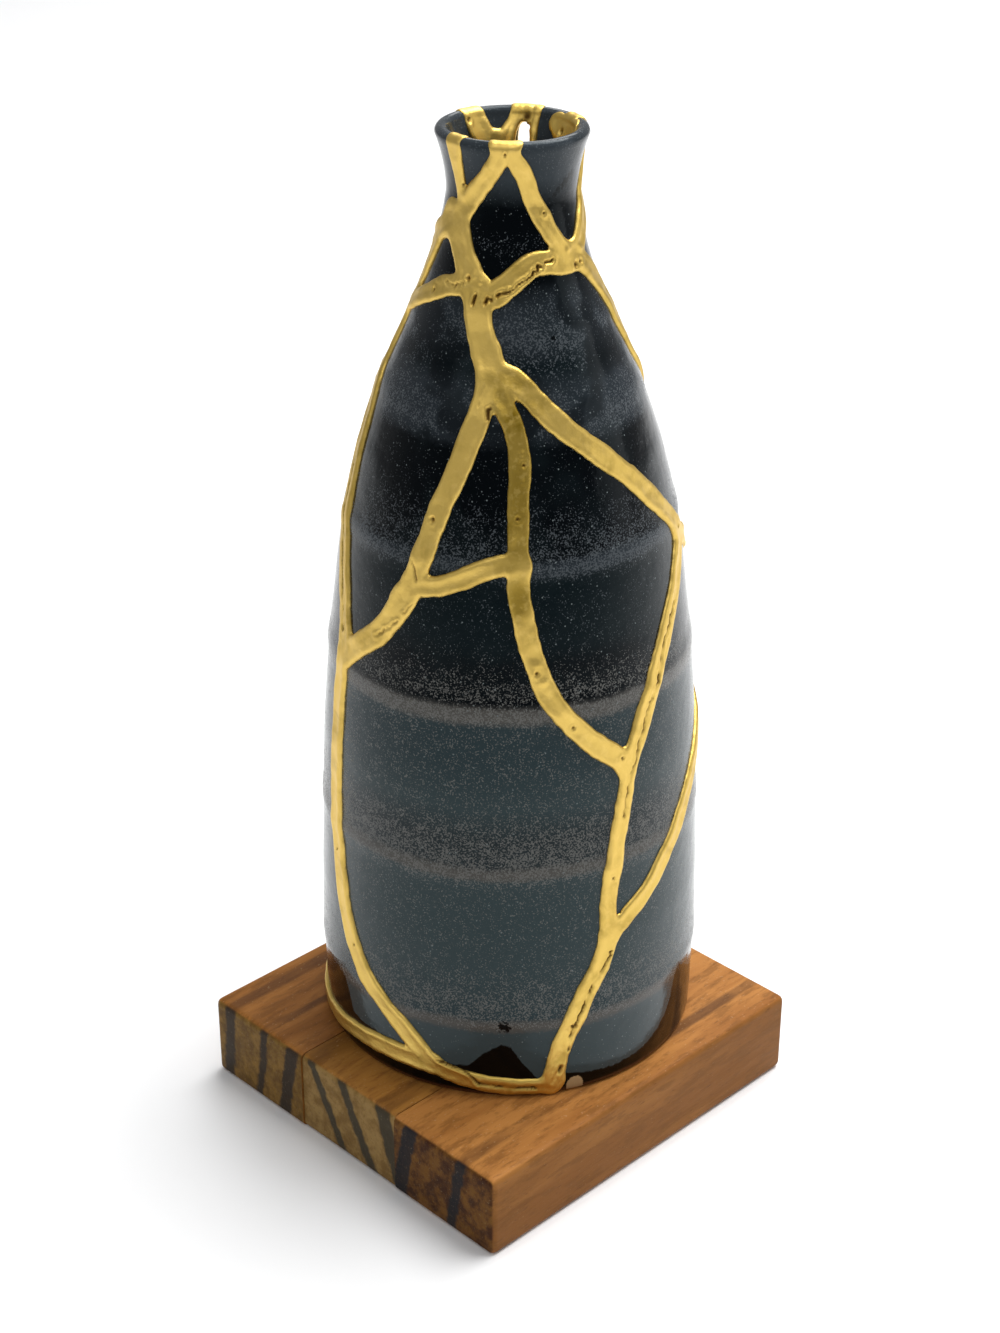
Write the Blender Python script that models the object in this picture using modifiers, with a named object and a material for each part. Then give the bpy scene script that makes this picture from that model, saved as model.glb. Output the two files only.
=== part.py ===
"""A wheel-thrown sake-bottle vase, broken and mended with raised gold seams, on its wooden stand.

Metres, +Z up. The origin is the middle of the stand's underside. The stand's end grain faces -Y,
its long grain runs along Y, and the vase's front is turned to the corner between -Y and +X.
"""
import math

import bmesh
import bpy
from mathutils import Matrix, Vector

# Driving dimensions of the stand
STAND_WIDTH = 0.087
STAND_LENGTH = 0.0903
STAND_HEIGHT = 0.019
BOARD_NAMES = ("left", "middle", "right")
STAND_EDGE = 0.0016
GLUE_LINE = 0.0003

# Driving dimensions of the vase
VASE_HEIGHT = 0.1924
BELLY_RADIUS = 0.040
NECK_RADIUS = 0.0123
LIP_RADIUS = 0.0144
BODY_WALL = 0.0038
NECK_WALL = 0.0030
LIP_WALL = 0.0026
FLOOR_THICKNESS = 0.0055
FOOT_EDGE = 0.0008
FOOT_RING = 0.0075
FOOT_RECESS = 0.0012
FLOOR_ROUND_WIDTH = 0.0060
FLOOR_ROUND_RISE = 0.0018
REST_GAP = 0.0003
VASE_CENTRE = (-0.0018, 0.0042)
FRONT_ANGLE = math.radians(-45.0)

# Driving dimensions of the gold mend
JOINT_GAP = 0.0003
GOLD_LIFT = 0.0004
MOUTH_LIFT = 0.0005
GOLD_THICKNESS = 0.0008
GOLD_WIDTH = 0.0046
HOLE_WIDTH = 0.0031
HOLE_HEIGHT = 0.0064

# How far a strip of gold runs past its end, as a share of half its width
RUN_ON = 0.3

# How finely the round shapes are divided
TURN_STEPS = 28
BODY_ROWS = 7
SHOULDER_ROWS = 6
NECK_ROWS = 7
GOLD_SAG = 0.0002
JOINT_SAG = 0.0010
LIP_STEPS = 4
EDGE_STEPS = 3
HOLE_SIDES = 6
PATH_DETAIL = 12
SLOPE_STEP = 0.0005
WELD = 0.000002
FLAT_ANGLE = math.radians(1.5)
SHARP_ANGLE = math.radians(35.0)

# How far the cutters reach past both sides of the wall
OVERCUT = 0.0060

# Where the wall turns into the floor, measured up the wall and in from the foot's edge
CORNER = 0.014

# Where the zones of the wall end and where it starts to thin, as shares of the height
SHOULDER_SHARE = 0.60
COLLAR_SHARE = 0.86
THIN_SHARE = 0.72

# How sharply the lip flares: the power of the climb from the neck
LIP_FLARE = 1.9

# The steepest slope, squared, that the wall's thickness is corrected for
STEEPEST = 0.5

# The vase's outline from foot to neck. First the share of the height, then how far the radius is
# on its way from the neck's to the belly's
OUTLINE = (
    (0.000, 0.984), (0.060, 0.994), (0.114, 1.000), (0.229, 0.977), (0.312, 0.958),
    (0.395, 0.921), (0.478, 0.872), (0.561, 0.797), (0.644, 0.695), (0.728, 0.512),
    (0.811, 0.257), (0.894, 0.052), (0.936, 0.000),
)

# The seams are drawn on a vase this tall, in millimetres above its foot, and in degrees
# to the right of its front. A height below zero lies under the foot, that far in from its edge
DRAWN_HEIGHT = 192.4
RIM = 192.4

JUNCTIONS = {
    "rim_left": (-48, RIM), "rim_front": (-4, RIM), "rim_right": (117, RIM),
    "rim_back": (168, RIM), "rim_far_left": (222, RIM),
    "neck_left": (-49, 177.2), "neck_front": (-25, 165.2), "neck_right": (55, 169.8),
    "patch_side": (172, 190), "vee": (200, 187), "patch_foot": (169, 181.5), "stem": (198, 171),
    "shoulder_front": (-9.5, 151.5), "shoulder_back": (194, 150),
    "back_right": (150, 130), "back_left": (210, 112), "side_right": (77, 113.5),
    "middle": (2.5, 118.6), "left_knee": (-33, 112), "left_side": (-62.5, 91.5),
    "right_knee": (37.5, 73.5), "back_elbow": (146, 88), "back_low": (150, 66),
    "right_low": (31, 37), "foot_fork": (-23.5, 6.3), "foot_front": (13, 2.4),
    "foot_back": (210, 4.5),
}

# Each seam has its two junctions, the points between them, and its width as a share of the
# usual width of gold. The last seam runs under the foot, where the joint carries no gold
SEAMS = (
    ("rim_left", "neck_left", ((-47.5, 187), (-49, 182)), 1.00),
    ("rim_front", "neck_left", ((-9, 189), (-18, 186), (-30, 182.8), (-40, 180)), 1.00),
    ("rim_front", "neck_right",
     ((1, 189), (8, 186), (15, 182), (24, 178), (35, 174), (45, 171)), 1.04),
    ("neck_left", "neck_front", ((-42, 172.5), (-34, 169)), 1.13),
    ("neck_left", "stem",
     ((-62, 175.6), (-76, 174), (-92, 172), (-112, 170.5), (-138, 170.5)), 0.96),
    ("neck_front", "shoulder_back",
     ((-35, 165.6), (-50, 164.5), (-65, 162.4), (-80, 160), (-94, 157.5), (-116, 153.5),
      (-141, 151)), 0.96),
    ("neck_front", "neck_right",
     ((-15, 164.2), (-5, 165.8), (5, 168), (15, 169.6), (28, 169.9), (42, 169.4)), 1.00),
    ("neck_right", "rim_right",
     ((64, 172.2), (74, 175), (86, 178), (99, 182.5), (111, 188)), 1.00),
    ("neck_right", "back_right",
     ((64, 168), (74, 165.2), (84, 160.5), (92, 153), (101, 145), (114, 138), (131, 132.5)), 1.00),
    ("patch_side", "vee", ((181, 189.2), (190, 187.8)), 0.70),
    ("rim_far_left", "vee", ((218, 190), (210, 188)), 0.87),
    ("vee", "stem", ((199, 182), (197, 176)), 1.00),
    ("stem", "shoulder_back", ((198, 164), (196, 157)), 1.00),
    ("shoulder_back", "back_right", ((183, 146), (167, 139)), 0.96),
    ("shoulder_back", "back_left", ((198, 139), (206, 126)), 0.96),
    ("neck_front", "shoulder_front", ((-21, 161), (-15, 156)), 1.17),
    ("shoulder_front", "side_right",
     ((0, 150.6), (10, 147.2), (20, 142.8), (32, 138), (46, 131.8), (60, 124.5), (70, 118.6)), 0.96),
    ("shoulder_front", "middle",
     ((-4, 147), (1, 142.6), (3.4, 137.5), (3, 130), (2.6, 124)), 0.91),
    ("shoulder_front", "left_knee",
     ((-12.5, 146), (-16, 140.5), (-20.5, 134), (-25, 128), (-28.5, 121)), 1.04),
    ("left_knee", "middle", ((-25, 112.4), (-17, 114.4), (-8, 117)), 0.96),
    ("left_knee", "left_side", ((-37, 107.4), (-42.5, 102), (-50, 97.2), (-57, 93.8)), 1.13),
    ("left_side", "back_left",
     ((-64, 97), (-67.5, 104), (-72, 111.5), (-76, 119), (-79, 127), (-82.5, 136), (-90, 143),
      (-103, 142), (-120, 134), (-138, 122)), 1.13),
    ("left_side", "foot_fork",
     ((-64.2, 84), (-64.5, 71), (-64, 58), (-62, 47), (-60, 40), (-56.8, 33), (-53, 27), (-46.5, 21.3),
      (-39, 16.8), (-31, 11.8)), 1.09),
    ("middle", "right_knee",
     ((3, 112), (5, 105), (8, 98), (11.5, 92), (17, 86.8), (25, 81), (32, 77.2)), 1.00),
    ("right_knee", "side_right",
     ((41, 78), (46, 85), (52, 91.8), (60, 99.2), (69, 106.8)), 1.04),
    ("side_right", "back_elbow", ((88, 110.5), (101, 105.5), (116, 99.5), (131, 93.5)), 1.00),
    ("right_knee", "right_low",
     ((36, 67), (34, 60.5), (32.2, 53.5), (30.7, 47), (30.2, 41.5)), 0.91),
    ("right_low", "back_low",
     ((36, 39.2), (42.5, 42.4), (50, 46.8), (60, 54), (70, 60.3), (81, 66), (94, 70.5),
      (112, 72), (132, 70)), 1.04),
    ("right_low", "foot_front", ((28, 30.5), (24, 25.3), (20, 19), (17, 13.8), (14.8, 8.8)), 1.04),
    ("back_right", "back_elbow", ((153, 116), (151, 101)), 0.96),
    ("back_elbow", "back_low", ((149.5, 77),), 0.96),
    ("back_left", "back_low", ((207, 99), (196, 86), (180, 76), (164, 69.5)), 0.96),
    ("back_low", "foot_back", ((158, 51), (171, 35), (190, 18), (202, 9.5)), 0.96),
    ("foot_fork", "foot_front", ((-16, 4.6), (-7, 3.4), (3, 2.7)), 0.78),
    ("foot_fork", "foot_back",
     ((-32, 6.1), (-42, 6), (-53, 5.2), (-66, 4), (-82, 3.4), (-105, 4), (-130, 4.8)), 0.87),
    ("foot_front", "foot_back",
     ((14.5, -1), (13, -9), (8, -18), (-14, -29), (-68, -32), (-112, -30), (-138, -20),
      (-148, -9), (-150, -1)), 0.00),
)

# Where the gold runs down inside the mouth from each rim junction
MOUTH_SEAMS = (
    ("rim_left", ((-47.5, 187), (-49, 180)), 0.70),
    ("rim_front", ((-3, 188), (-2, 182)), 0.74),
    ("rim_right", ((116, 189), (112, 185)), 0.74),
    ("rim_far_left", ((215, 189.5), (203, 187), (199, 182), (197, 175)), 0.70),
    ("rim_back", ((168, 188), (168.5, 183)), 0.74),
)

# Where that gold starts on the outer side, and how far round the lip its sections lie
MOUTH_START = (185.5, 188.5)
LIP_TURNS = (0, 60, 120, 180)

# The wide fill at the back of the rim, with the hole through it, and the gold that covers it
PATCH_HALF = 0.0027
PATCH_PATH = (JUNCTIONS["rim_back"], (168, 189), (168.5, 185), JUNCTIONS["patch_foot"])
PATCH_GOLD_HALF = 0.0039
PATCH_GOLD_PATH = ((168, 190.6), (168, 186), (168.5, 182), (168.5, 179.5))
PATCH_GOLD_LIFT = 0.00052
PATCH_TAPER = 0.7
HOLE_PLACE = (169, 186.6)

# A point inside each shard, in degrees and millimetres, and its colour
SHARD_PLACES = {
    "shard_front_panel": (-15, 60),
    "shard_front_sliver": (-8, 130),
    "shard_right_panel": (30, 110),
    "shard_right_side": (70, 80),
    "shard_foot_right": (60, 25),
    "shard_left_shoulder": (-45, 135),
    "shard_left_side": (-90, 70),
    "shard_foot_left": (-60, -25),
    "shard_neck_left": (-80, 183),
    "shard_rim_front": (-33, 188.5),
    "shard_neck_front": (0, 176),
    "shard_neck_right": (50, 182),
    "shard_right_shoulder": (60, 145),
    "shard_neck_base": (-90, 166),
    "shard_neck_back": (140, 175),
    "shard_back_panel": (178, 105),
    "shard_rim_back": (200, 190.6),
}

# Colours, how rough each surface is and how metallic, and the height where the glaze turns grey
GLAZE_DARK = ((0.013, 0.018, 0.026, 1.0), 0.22, 0.0)
GLAZE_GREY = ((0.045, 0.058, 0.072, 1.0), 0.22, 0.0)
GLAZE_BROWN = ((0.035, 0.014, 0.006, 1.0), 0.22, 0.0)
GOLD = ((0.72, 0.50, 0.16, 1.0), 0.35, 1.0)
WALNUT = ((0.22, 0.10, 0.045, 1.0), 0.45, 0.0)
GREY_BELOW = 110.0


def new_collection(name):
    """Makes a collection and hangs it under the scene."""
    collection = bpy.data.collections.new(name)
    bpy.context.scene.collection.children.link(collection)
    return collection


def object_from(name, mesh, collection):
    """Turns a bmesh into an object of the collection."""
    data = bpy.data.meshes.new(name)
    mesh.to_mesh(data)
    mesh.free()
    obj = bpy.data.objects.new(name, data)
    collection.objects.link(obj)
    return obj


def as_cutter(obj):
    """Marks a cutter, which shows as wire and doesn't render."""
    obj.hide_render = True
    obj.display_type = "WIRE"


def finish_material(obj, surface):
    """Gives the object a material of its own."""
    colour, roughness, metallic = surface
    material = bpy.data.materials.new(obj.name)
    material.use_nodes = True
    shader = material.node_tree.nodes["Principled BSDF"]
    shader.inputs["Base Color"].default_value = colour
    shader.inputs["Roughness"].default_value = roughness
    shader.inputs["Metallic"].default_value = metallic
    obj.data.materials.clear()
    obj.data.materials.append(material)


def smooth_value(table, place):
    """Reads a smooth curve through the table's points (Catmull-Rom slopes, Hermite spans)."""
    last = len(table) - 1
    span = 0
    while span < last - 1 and place > table[span + 1][0]:
        span += 1

    def slope(index):
        low = max(index - 1, 0)
        high = min(index + 1, last)
        return (table[high][1] - table[low][1]) / (table[high][0] - table[low][0])

    (x0, y0), (x1, y1) = table[span], table[span + 1]
    width = x1 - x0
    t = min(max((place - x0) / width, 0.0), 1.0)
    rise = (3 - 2 * t) * t * t
    start = t * (1 - t) ** 2 * width * slope(span)
    end = t * t * (t - 1) * width * slope(span + 1)
    return y0 + (y1 - y0) * rise + start + end


LIP_TUBE = LIP_WALL / 2
LIP_RING = LIP_RADIUS - LIP_TUBE
LIP_HEIGHT = VASE_HEIGHT - LIP_TUBE
NECK_HEIGHT = OUTLINE[-1][0] * VASE_HEIGHT
SHOULDER_HEIGHT = SHOULDER_SHARE * VASE_HEIGHT
COLLAR_HEIGHT = COLLAR_SHARE * VASE_HEIGHT
THIN_HEIGHT = THIN_SHARE * VASE_HEIGHT
GOLD_TOP = GOLD_LIFT + GOLD_THICKNESS
GOLD_HALF = GOLD_WIDTH / 2
FOOT_LEVEL = STAND_HEIGHT + REST_GAP


def outer_radius(height):
    """The vase's outer radius, from the foot to the middle of the lip."""
    if height <= NECK_HEIGHT:
        share = smooth_value(OUTLINE, max(height, 0.0) / VASE_HEIGHT)
        return NECK_RADIUS + (BELLY_RADIUS - NECK_RADIUS) * share
    climb = min((height - NECK_HEIGHT) / (LIP_HEIGHT - NECK_HEIGHT), 1.0)
    return NECK_RADIUS + (LIP_RADIUS - NECK_RADIUS) * climb ** LIP_FLARE


def wall_at(height):
    """The wall's thickness, which thins from the body to the neck and to the lip."""
    table = ((0.0, BODY_WALL), (THIN_HEIGHT, BODY_WALL), (NECK_HEIGHT, NECK_WALL),
             (LIP_HEIGHT, LIP_WALL))
    for (low, thick), (high, thin) in zip(table, table[1:]):
        if height <= high:
            return thick + (thin - thick) * (height - low) / (high - low)
    return LIP_WALL


def inner_radius(height):
    """The inner radius, one wall in from the outer side, measured square to the slope."""
    rise = outer_radius(height + SLOPE_STEP) - outer_radius(height - SLOPE_STEP)
    slope = rise / (2 * SLOPE_STEP)
    steepness = math.sqrt(1 + min(slope * slope, STEEPEST)) if height < NECK_HEIGHT else 1.0
    return outer_radius(height) - wall_at(height) * steepness


FOOT_RADIUS = outer_radius(0.0)
INNER_FOOT_RADIUS = inner_radius(0.0)


def placed(radius, degrees, height):
    """A point of the vase, from its radius, its angle from the front and its height."""
    angle = FRONT_ANGLE + math.radians(degrees)
    return Vector((
        VASE_CENTRE[0] + radius * math.cos(angle),
        VASE_CENTRE[1] + radius * math.sin(angle),
        FOOT_LEVEL + height,
    ))


def wall_points(degrees, travel):
    """The outer and the inner point of the wall or floor, by travel up from the foot's edge."""
    if travel >= 0.0:
        outer = placed(outer_radius(travel), degrees, travel)
        rise = max(travel, FLOOR_THICKNESS + (CORNER - FLOOR_THICKNESS) * travel / CORNER)
        return outer, placed(inner_radius(rise), degrees, rise)
    outer = placed(FOOT_RADIUS + travel, degrees, 0.0)
    if travel >= -CORNER:
        inward = INNER_FOOT_RADIUS + (FOOT_RADIUS - CORNER - INNER_FOOT_RADIUS) * travel / -CORNER
        return outer, placed(inward, degrees, FLOOR_THICKNESS)
    return outer, placed(FOOT_RADIUS + travel, degrees, FLOOR_THICKNESS)


def drawn(value):
    """A drawn height in millimetres, as metres of this vase."""
    return value / DRAWN_HEIGHT * VASE_HEIGHT


def smooth_path(points, sag):
    """Points along a smooth curve through (degrees, millimetres) places.

    They are spaced so that a straight run between two of them sinks at most sag into the round.
    """
    def arc_place(degrees, height):
        return wall_points(degrees, drawn(height))[0]

    padded = [points[0]] + list(points) + [points[-1]]
    dense = []
    for p0, p1, p2, p3 in zip(padded, padded[1:], padded[2:], padded[3:]):
        for index in range(PATH_DETAIL):
            t = index / PATH_DETAIL
            place = []
            for a, b, c, d in zip(p0, p1, p2, p3):
                bend = (2 * a - 5 * b + 4 * c - d) * t * t + (3 * b - a - 3 * c + d) * t ** 3
                place.append((2 * b + (c - a) * t + bend) / 2)
            dense.append(tuple(place))
    dense.append(tuple(points[-1]))
    travelled = [0.0]
    for place, following in zip(dense, dense[1:]):
        radius = outer_radius(drawn(max(place[1], 0.0)))
        step = math.sqrt(8 * sag * radius)
        travelled.append(travelled[-1] + (arc_place(*following) - arc_place(*place)).length / step)
    count = max(1, round(travelled[-1]))
    result = []
    for index in range(count + 1):
        wanted = travelled[-1] * index / count
        nearest = min(range(len(dense)), key=lambda place: abs(travelled[place] - wanted))
        result.append(dense[nearest])
    return result


def through_frames(path):
    """Frames through the wall: the outer point, the outward way and the wall's depth there."""
    frames = []
    for degrees, height in path:
        outer, inner = wall_points(degrees, drawn(height))
        frames.append((outer, (outer - inner).normalized(), (outer - inner).length))
    return frames


def surface_normal(degrees, height):
    """The outward normal of the vase's outer side."""
    travel = min(drawn(height), LIP_HEIGHT)
    below = wall_points(degrees, max(travel - SLOPE_STEP, 0.0))[0]
    above = wall_points(degrees, min(travel + SLOPE_STEP, LIP_HEIGHT))[0]
    around = wall_points(degrees + 1.0, travel)[0] - wall_points(degrees - 1.0, travel)[0]
    return around.cross(above - below).normalized()


def lip_frame(degrees, turn):
    """A frame on the round of the lip, from its outer side (0) over the top to its inner side (180)."""
    angle = math.radians(turn)
    centre = placed(LIP_RING, degrees, LIP_HEIGHT)
    away = placed(LIP_RING + 1.0, degrees, LIP_HEIGHT) - centre
    normal = away * math.cos(angle) + Vector((0.0, 0.0, math.sin(angle)))
    return centre + normal * LIP_TUBE, normal


def flat_section(half, low, high):
    """A four-cornered section, as (along the normal, to the side) pairs."""
    return ((low, -half), (high, -half), (high, half), (low, half))


def crowned_section(half, low, high):
    """A three-cornered section, crowned along its middle."""
    return ((low, -half), (high, 0.0), (low, half))


def bar(name, frames, section, halves, lows, highs, collection):
    """A closed bar of sections along frames of (point, normal)."""
    mesh = bmesh.new()
    last = len(frames) - 1
    rings = []
    for index, (point, normal) in enumerate(frames):
        along = frames[min(index + 1, last)][0] - frames[max(index - 1, 0)][0]
        side = along.cross(normal).normalized()
        corners = section(halves[index], lows[index], highs[index])
        rings.append([mesh.verts.new(point + normal * depth + side * reach) for depth, reach in corners])
    for ring, following in zip(rings, rings[1:]):
        for corner in range(len(ring)):
            beside = (corner + 1) % len(ring)
            mesh.faces.new((ring[corner], ring[beside], following[beside], following[corner]))
    mesh.faces.new(rings[0])
    mesh.faces.new(rings[-1])
    bmesh.ops.recalc_face_normals(mesh, faces=mesh.faces)
    bmesh.ops.triangulate(mesh, faces=mesh.faces)
    return object_from(name, mesh, collection)


def add_boolean(obj, operation, collection):
    """Cuts the object with a whole collection, or joins the collection to it."""
    modifier = obj.modifiers.new(operation.title(), "BOOLEAN")
    modifier.operation = operation
    modifier.solver = "EXACT"
    modifier.operand_type = "COLLECTION"
    modifier.collection = collection
    return modifier


def evaluated(obj, name):
    """The object's mesh as its modifiers leave it, in world space."""
    bpy.context.view_layer.update()
    graph = bpy.context.evaluated_depsgraph_get()
    mesh = bpy.data.meshes.new_from_object(obj.evaluated_get(graph), depsgraph=graph)
    mesh.name = name
    mesh.transform(obj.matrix_world)
    return mesh


def islands(mesh):
    """The loose parts of a mesh, each as a bmesh with the faces of one plane merged."""
    whole = bmesh.new()
    whole.from_mesh(mesh)
    bmesh.ops.remove_doubles(whole, verts=whole.verts, dist=WELD)
    left = set(whole.verts)
    parts = []
    while left:
        seed = left.pop()
        group = {seed}
        front = [seed]
        while front:
            vert = front.pop()
            for edge in vert.link_edges:
                other = edge.other_vert(vert)
                if other not in group:
                    group.add(other)
                    front.append(other)
        left -= group
        part = bmesh.new()
        copies = {}
        for vert in sorted(group, key=lambda vert: vert.index):
            copies[vert] = part.verts.new(vert.co)
        for face in whole.faces:
            if face.verts[0] in group:
                part.faces.new([copies[vert] for vert in face.verts])
        bmesh.ops.dissolve_limit(part, angle_limit=FLAT_ANGLE, verts=part.verts, edges=part.edges)
        bmesh.ops.triangulate(part, faces=part.faces)
        parts.append(part)
    whole.free()
    return parts


def name_islands(parts, places, collection):
    """Makes an object of each loose part, named by the place that lies nearest to it."""
    made = []
    for number, part in enumerate(parts):
        made.append(object_from("loose_%d" % number, part, collection))
    bpy.context.view_layer.update()
    named = {}
    for name, place in places.items():
        nearest = min(made, key=lambda obj: (obj.closest_point_on_mesh(place)[1] - place).length)
        made.remove(nearest)
        nearest.name = name
        nearest.data.name = name
        named[name] = nearest
    return named


def turned_wall(collection):
    """The whole vase before it broke: its outline turned about its axis."""
    outline = [(0.0, FLOOR_THICKNESS),
               (INNER_FOOT_RADIUS - FLOOR_ROUND_WIDTH, FLOOR_THICKNESS),
               (INNER_FOOT_RADIUS - FLOOR_ROUND_WIDTH / 4, FLOOR_THICKNESS + FLOOR_ROUND_RISE)]
    zones = ((CORNER, SHOULDER_HEIGHT, BODY_ROWS), (SHOULDER_HEIGHT, COLLAR_HEIGHT, SHOULDER_ROWS),
             (COLLAR_HEIGHT, LIP_HEIGHT, NECK_ROWS))
    heights = []
    for low, high, rows in zones:
        heights += [low + (high - low) * row / rows for row in range(rows)]
    outline += [(inner_radius(height), height) for height in heights]
    for step in range(LIP_STEPS + 1):
        angle = math.pi * (1 - step / LIP_STEPS)
        across = LIP_TUBE * math.cos(angle)
        outline.append((LIP_RING + across, LIP_HEIGHT + LIP_TUBE * math.sin(angle)))
    outline += [(outer_radius(height), height) for height in reversed(heights)]
    outline += [(outer_radius(CORNER / 2), CORNER / 2), (outer_radius(FOOT_EDGE), FOOT_EDGE),
                (FOOT_RADIUS - FOOT_EDGE, 0.0), (FOOT_RADIUS - FOOT_RING, 0.0),
                (FOOT_RADIUS - FOOT_RING - FOOT_RECESS, FOOT_RECESS), (0.0, FOOT_RECESS)]
    mesh = bmesh.new()
    verts = [mesh.verts.new((radius, 0.0, height)) for radius, height in outline]
    for first, second in zip(verts, verts[1:]):
        mesh.edges.new((first, second))
    wall = object_from("turned_wall", mesh, collection)
    wall.location = (VASE_CENTRE[0], VASE_CENTRE[1], FOOT_LEVEL)
    wall.rotation_euler = (0.0, 0.0, FRONT_ANGLE)
    screw = wall.modifiers.new("Turn", "SCREW")
    screw.steps = TURN_STEPS
    screw.render_steps = TURN_STEPS
    screw.use_merge_vertices = True
    screw.merge_threshold = WELD
    screw.use_normal_calculate = True
    return wall


def seam_path(start, end, between, sag):
    """A seam's smooth path from one junction to the other, the short way round."""
    points = [JUNCTIONS[start]]
    for degrees, height in tuple(between) + (JUNCTIONS[end],):
        turns = round((degrees - points[-1][0]) / 360)
        points.append((degrees - 360 * turns, height))
    return smooth_path(points, sag)


def run_on(frames, length):
    """Lengthens a strip at both ends, so that it closes the corners where it meets others."""
    (first, first_normal), (second, _) = frames[0], frames[1]
    (last, last_normal), (before, _) = frames[-1], frames[-2]
    frames[0] = (first + (first - second).normalized() * length, first_normal)
    frames[-1] = (last + (last - before).normalized() * length, last_normal)
    return frames


def cut_seams(cutters):
    """The narrow joints between the shards, as cutters through the wall."""
    half = JOINT_GAP / 2
    for number, (start, end, between, _) in enumerate(SEAMS):
        frames = through_frames(seam_path(start, end, between, JOINT_SAG))
        count = len(frames)
        bar("joint_%d" % number, run_on([frame[:2] for frame in frames], JOINT_GAP), flat_section,
            [half] * count, [-frame[2] - OVERCUT for frame in frames], [OVERCUT] * count, cutters)
    patch_bar(PATCH_HALF + JOINT_GAP, 0.0, OVERCUT, OVERCUT, cutters)
    for obj in cutters.objects:
        as_cutter(obj)


def patch_bar(half, short, inward, outward, collection):
    """The wide slot at the back of the rim, or the gold that fills it.

    It ends short of the slot's foot, and reaches past the wall's two sides.
    """
    frames = through_frames(PATCH_PATH)
    path = [frame[:2] for frame in frames]
    path[0] = (path[0][0] + Vector((0.0, 0.0, outward)), path[0][1])
    path[-1] = (path[-1][0] + Vector((0.0, 0.0, short)), path[-1][1])
    bar("patch", path, flat_section, [half] * 3 + [half * PATCH_TAPER],
        [-frame[2] - inward for frame in frames], [outward] * 4, collection)


def hole_cutter(collection):
    """The hole left open in the fill, as an upright oval plug through the wall."""
    outer, inner = wall_points(HOLE_PLACE[0], drawn(HOLE_PLACE[1]))
    normal = (outer - inner).normalized()
    turn = normal.to_track_quat("Z", "Y").to_matrix().to_4x4()
    size = Matrix.Diagonal((HOLE_WIDTH, HOLE_HEIGHT, LIP_WALL + 2 * OVERCUT, 1.0))
    mesh = bmesh.new()
    bmesh.ops.create_cone(mesh, cap_ends=True, segments=HOLE_SIDES, radius1=0.5, radius2=0.5,
                          depth=1.0, matrix=Matrix.Translation((outer + inner) / 2) @ turn @ size)
    as_cutter(object_from("hole", mesh, collection))


def gold_pieces(pieces):
    """Every strip and fill of gold, before they are joined into one."""
    for number, (start, end, between, share) in enumerate(SEAMS):
        if not share:
            continue
        skin = [outer_frame(*place) for place in seam_path(start, end, between, GOLD_SAG)]
        half = GOLD_HALF * share
        skin = run_on(skin, half * RUN_ON)
        count = len(skin)
        bar("strip_%d" % number, skin, crowned_section, [half] * count, [GOLD_LIFT] * count,
            [GOLD_TOP] * count, pieces)
    for name, between, share in MOUTH_SEAMS:
        mouth_strip(name, between, GOLD_HALF * share, pieces)
    patch_bar(PATCH_HALF, JOINT_GAP, 0.0, (GOLD_LIFT + GOLD_TOP) / 2, pieces)
    cover = [outer_frame(*place) for place in PATCH_GOLD_PATH]
    bar("patch_cover", cover, flat_section, [PATCH_GOLD_HALF] * 3 + [PATCH_GOLD_HALF * PATCH_TAPER],
        [PATCH_GOLD_LIFT] * 4, [GOLD_TOP] * 4, pieces)


def outer_frame(degrees, height):
    """A point of the outer side and the outward normal there."""
    travel = min(drawn(height), LIP_HEIGHT)
    return wall_points(degrees, travel)[0], surface_normal(degrees, height)


def mouth_strip(name, between, half, pieces):
    """Gold that climbs over the lip and runs down inside the mouth."""
    degrees = JUNCTIONS[name][0]
    frames = [outer_frame(degrees, height) for height in MOUTH_START]
    frames += [lip_frame(degrees, turn) for turn in LIP_TURNS]
    for place, height in between:
        inner = wall_points(place, drawn(height))[1]
        centre = placed(0.0, place, drawn(height))
        frames.append((inner, (centre - inner).normalized()))
    count = len(frames)
    bar("mouth_" + name, frames, crowned_section, [half] * count, [MOUTH_LIFT] * count,
        [GOLD_TOP] * count, pieces)


def make_shards(collection, workshop, cutters):
    """Breaks the turned wall along its seams."""
    wall = turned_wall(workshop)
    cut_seams(cutters)
    hole_cutter(cutters)
    add_boolean(wall, "DIFFERENCE", cutters)
    broken = evaluated(wall, "broken_wall")
    places = {}
    for name, (degrees, height) in SHARD_PLACES.items():
        outer, inner = wall_points(degrees, drawn(height))
        places[name] = (outer + inner) / 2
    shards = name_islands(islands(broken), places, collection)
    for name, shard in shards.items():
        height = SHARD_PLACES[name][1]
        below = GLAZE_GREY if height > 0 else GLAZE_BROWN
        finish_material(shard, GLAZE_DARK if height > GREY_BELOW else below)
    bpy.data.meshes.remove(broken)


def make_gold(collection, workshop):
    """Joins all the gold into the one mend that runs round the vase."""
    pieces = new_collection("gold_pieces")
    gold_pieces(pieces)
    first = pieces.objects[0]
    pieces.objects.unlink(first)
    workshop.objects.link(first)
    add_boolean(first, "UNION", pieces)
    hole = new_collection("hole_cutter")
    hole_cutter(hole)
    add_boolean(first, "DIFFERENCE", hole)
    joined = evaluated(first, "gold_seam")
    gold = bpy.data.objects.new("gold_seam", joined)
    collection.objects.link(gold)
    finish_material(gold, GOLD)
    for obj in list(pieces.objects) + list(hole.objects) + [first]:
        bpy.data.objects.remove(obj)


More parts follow.
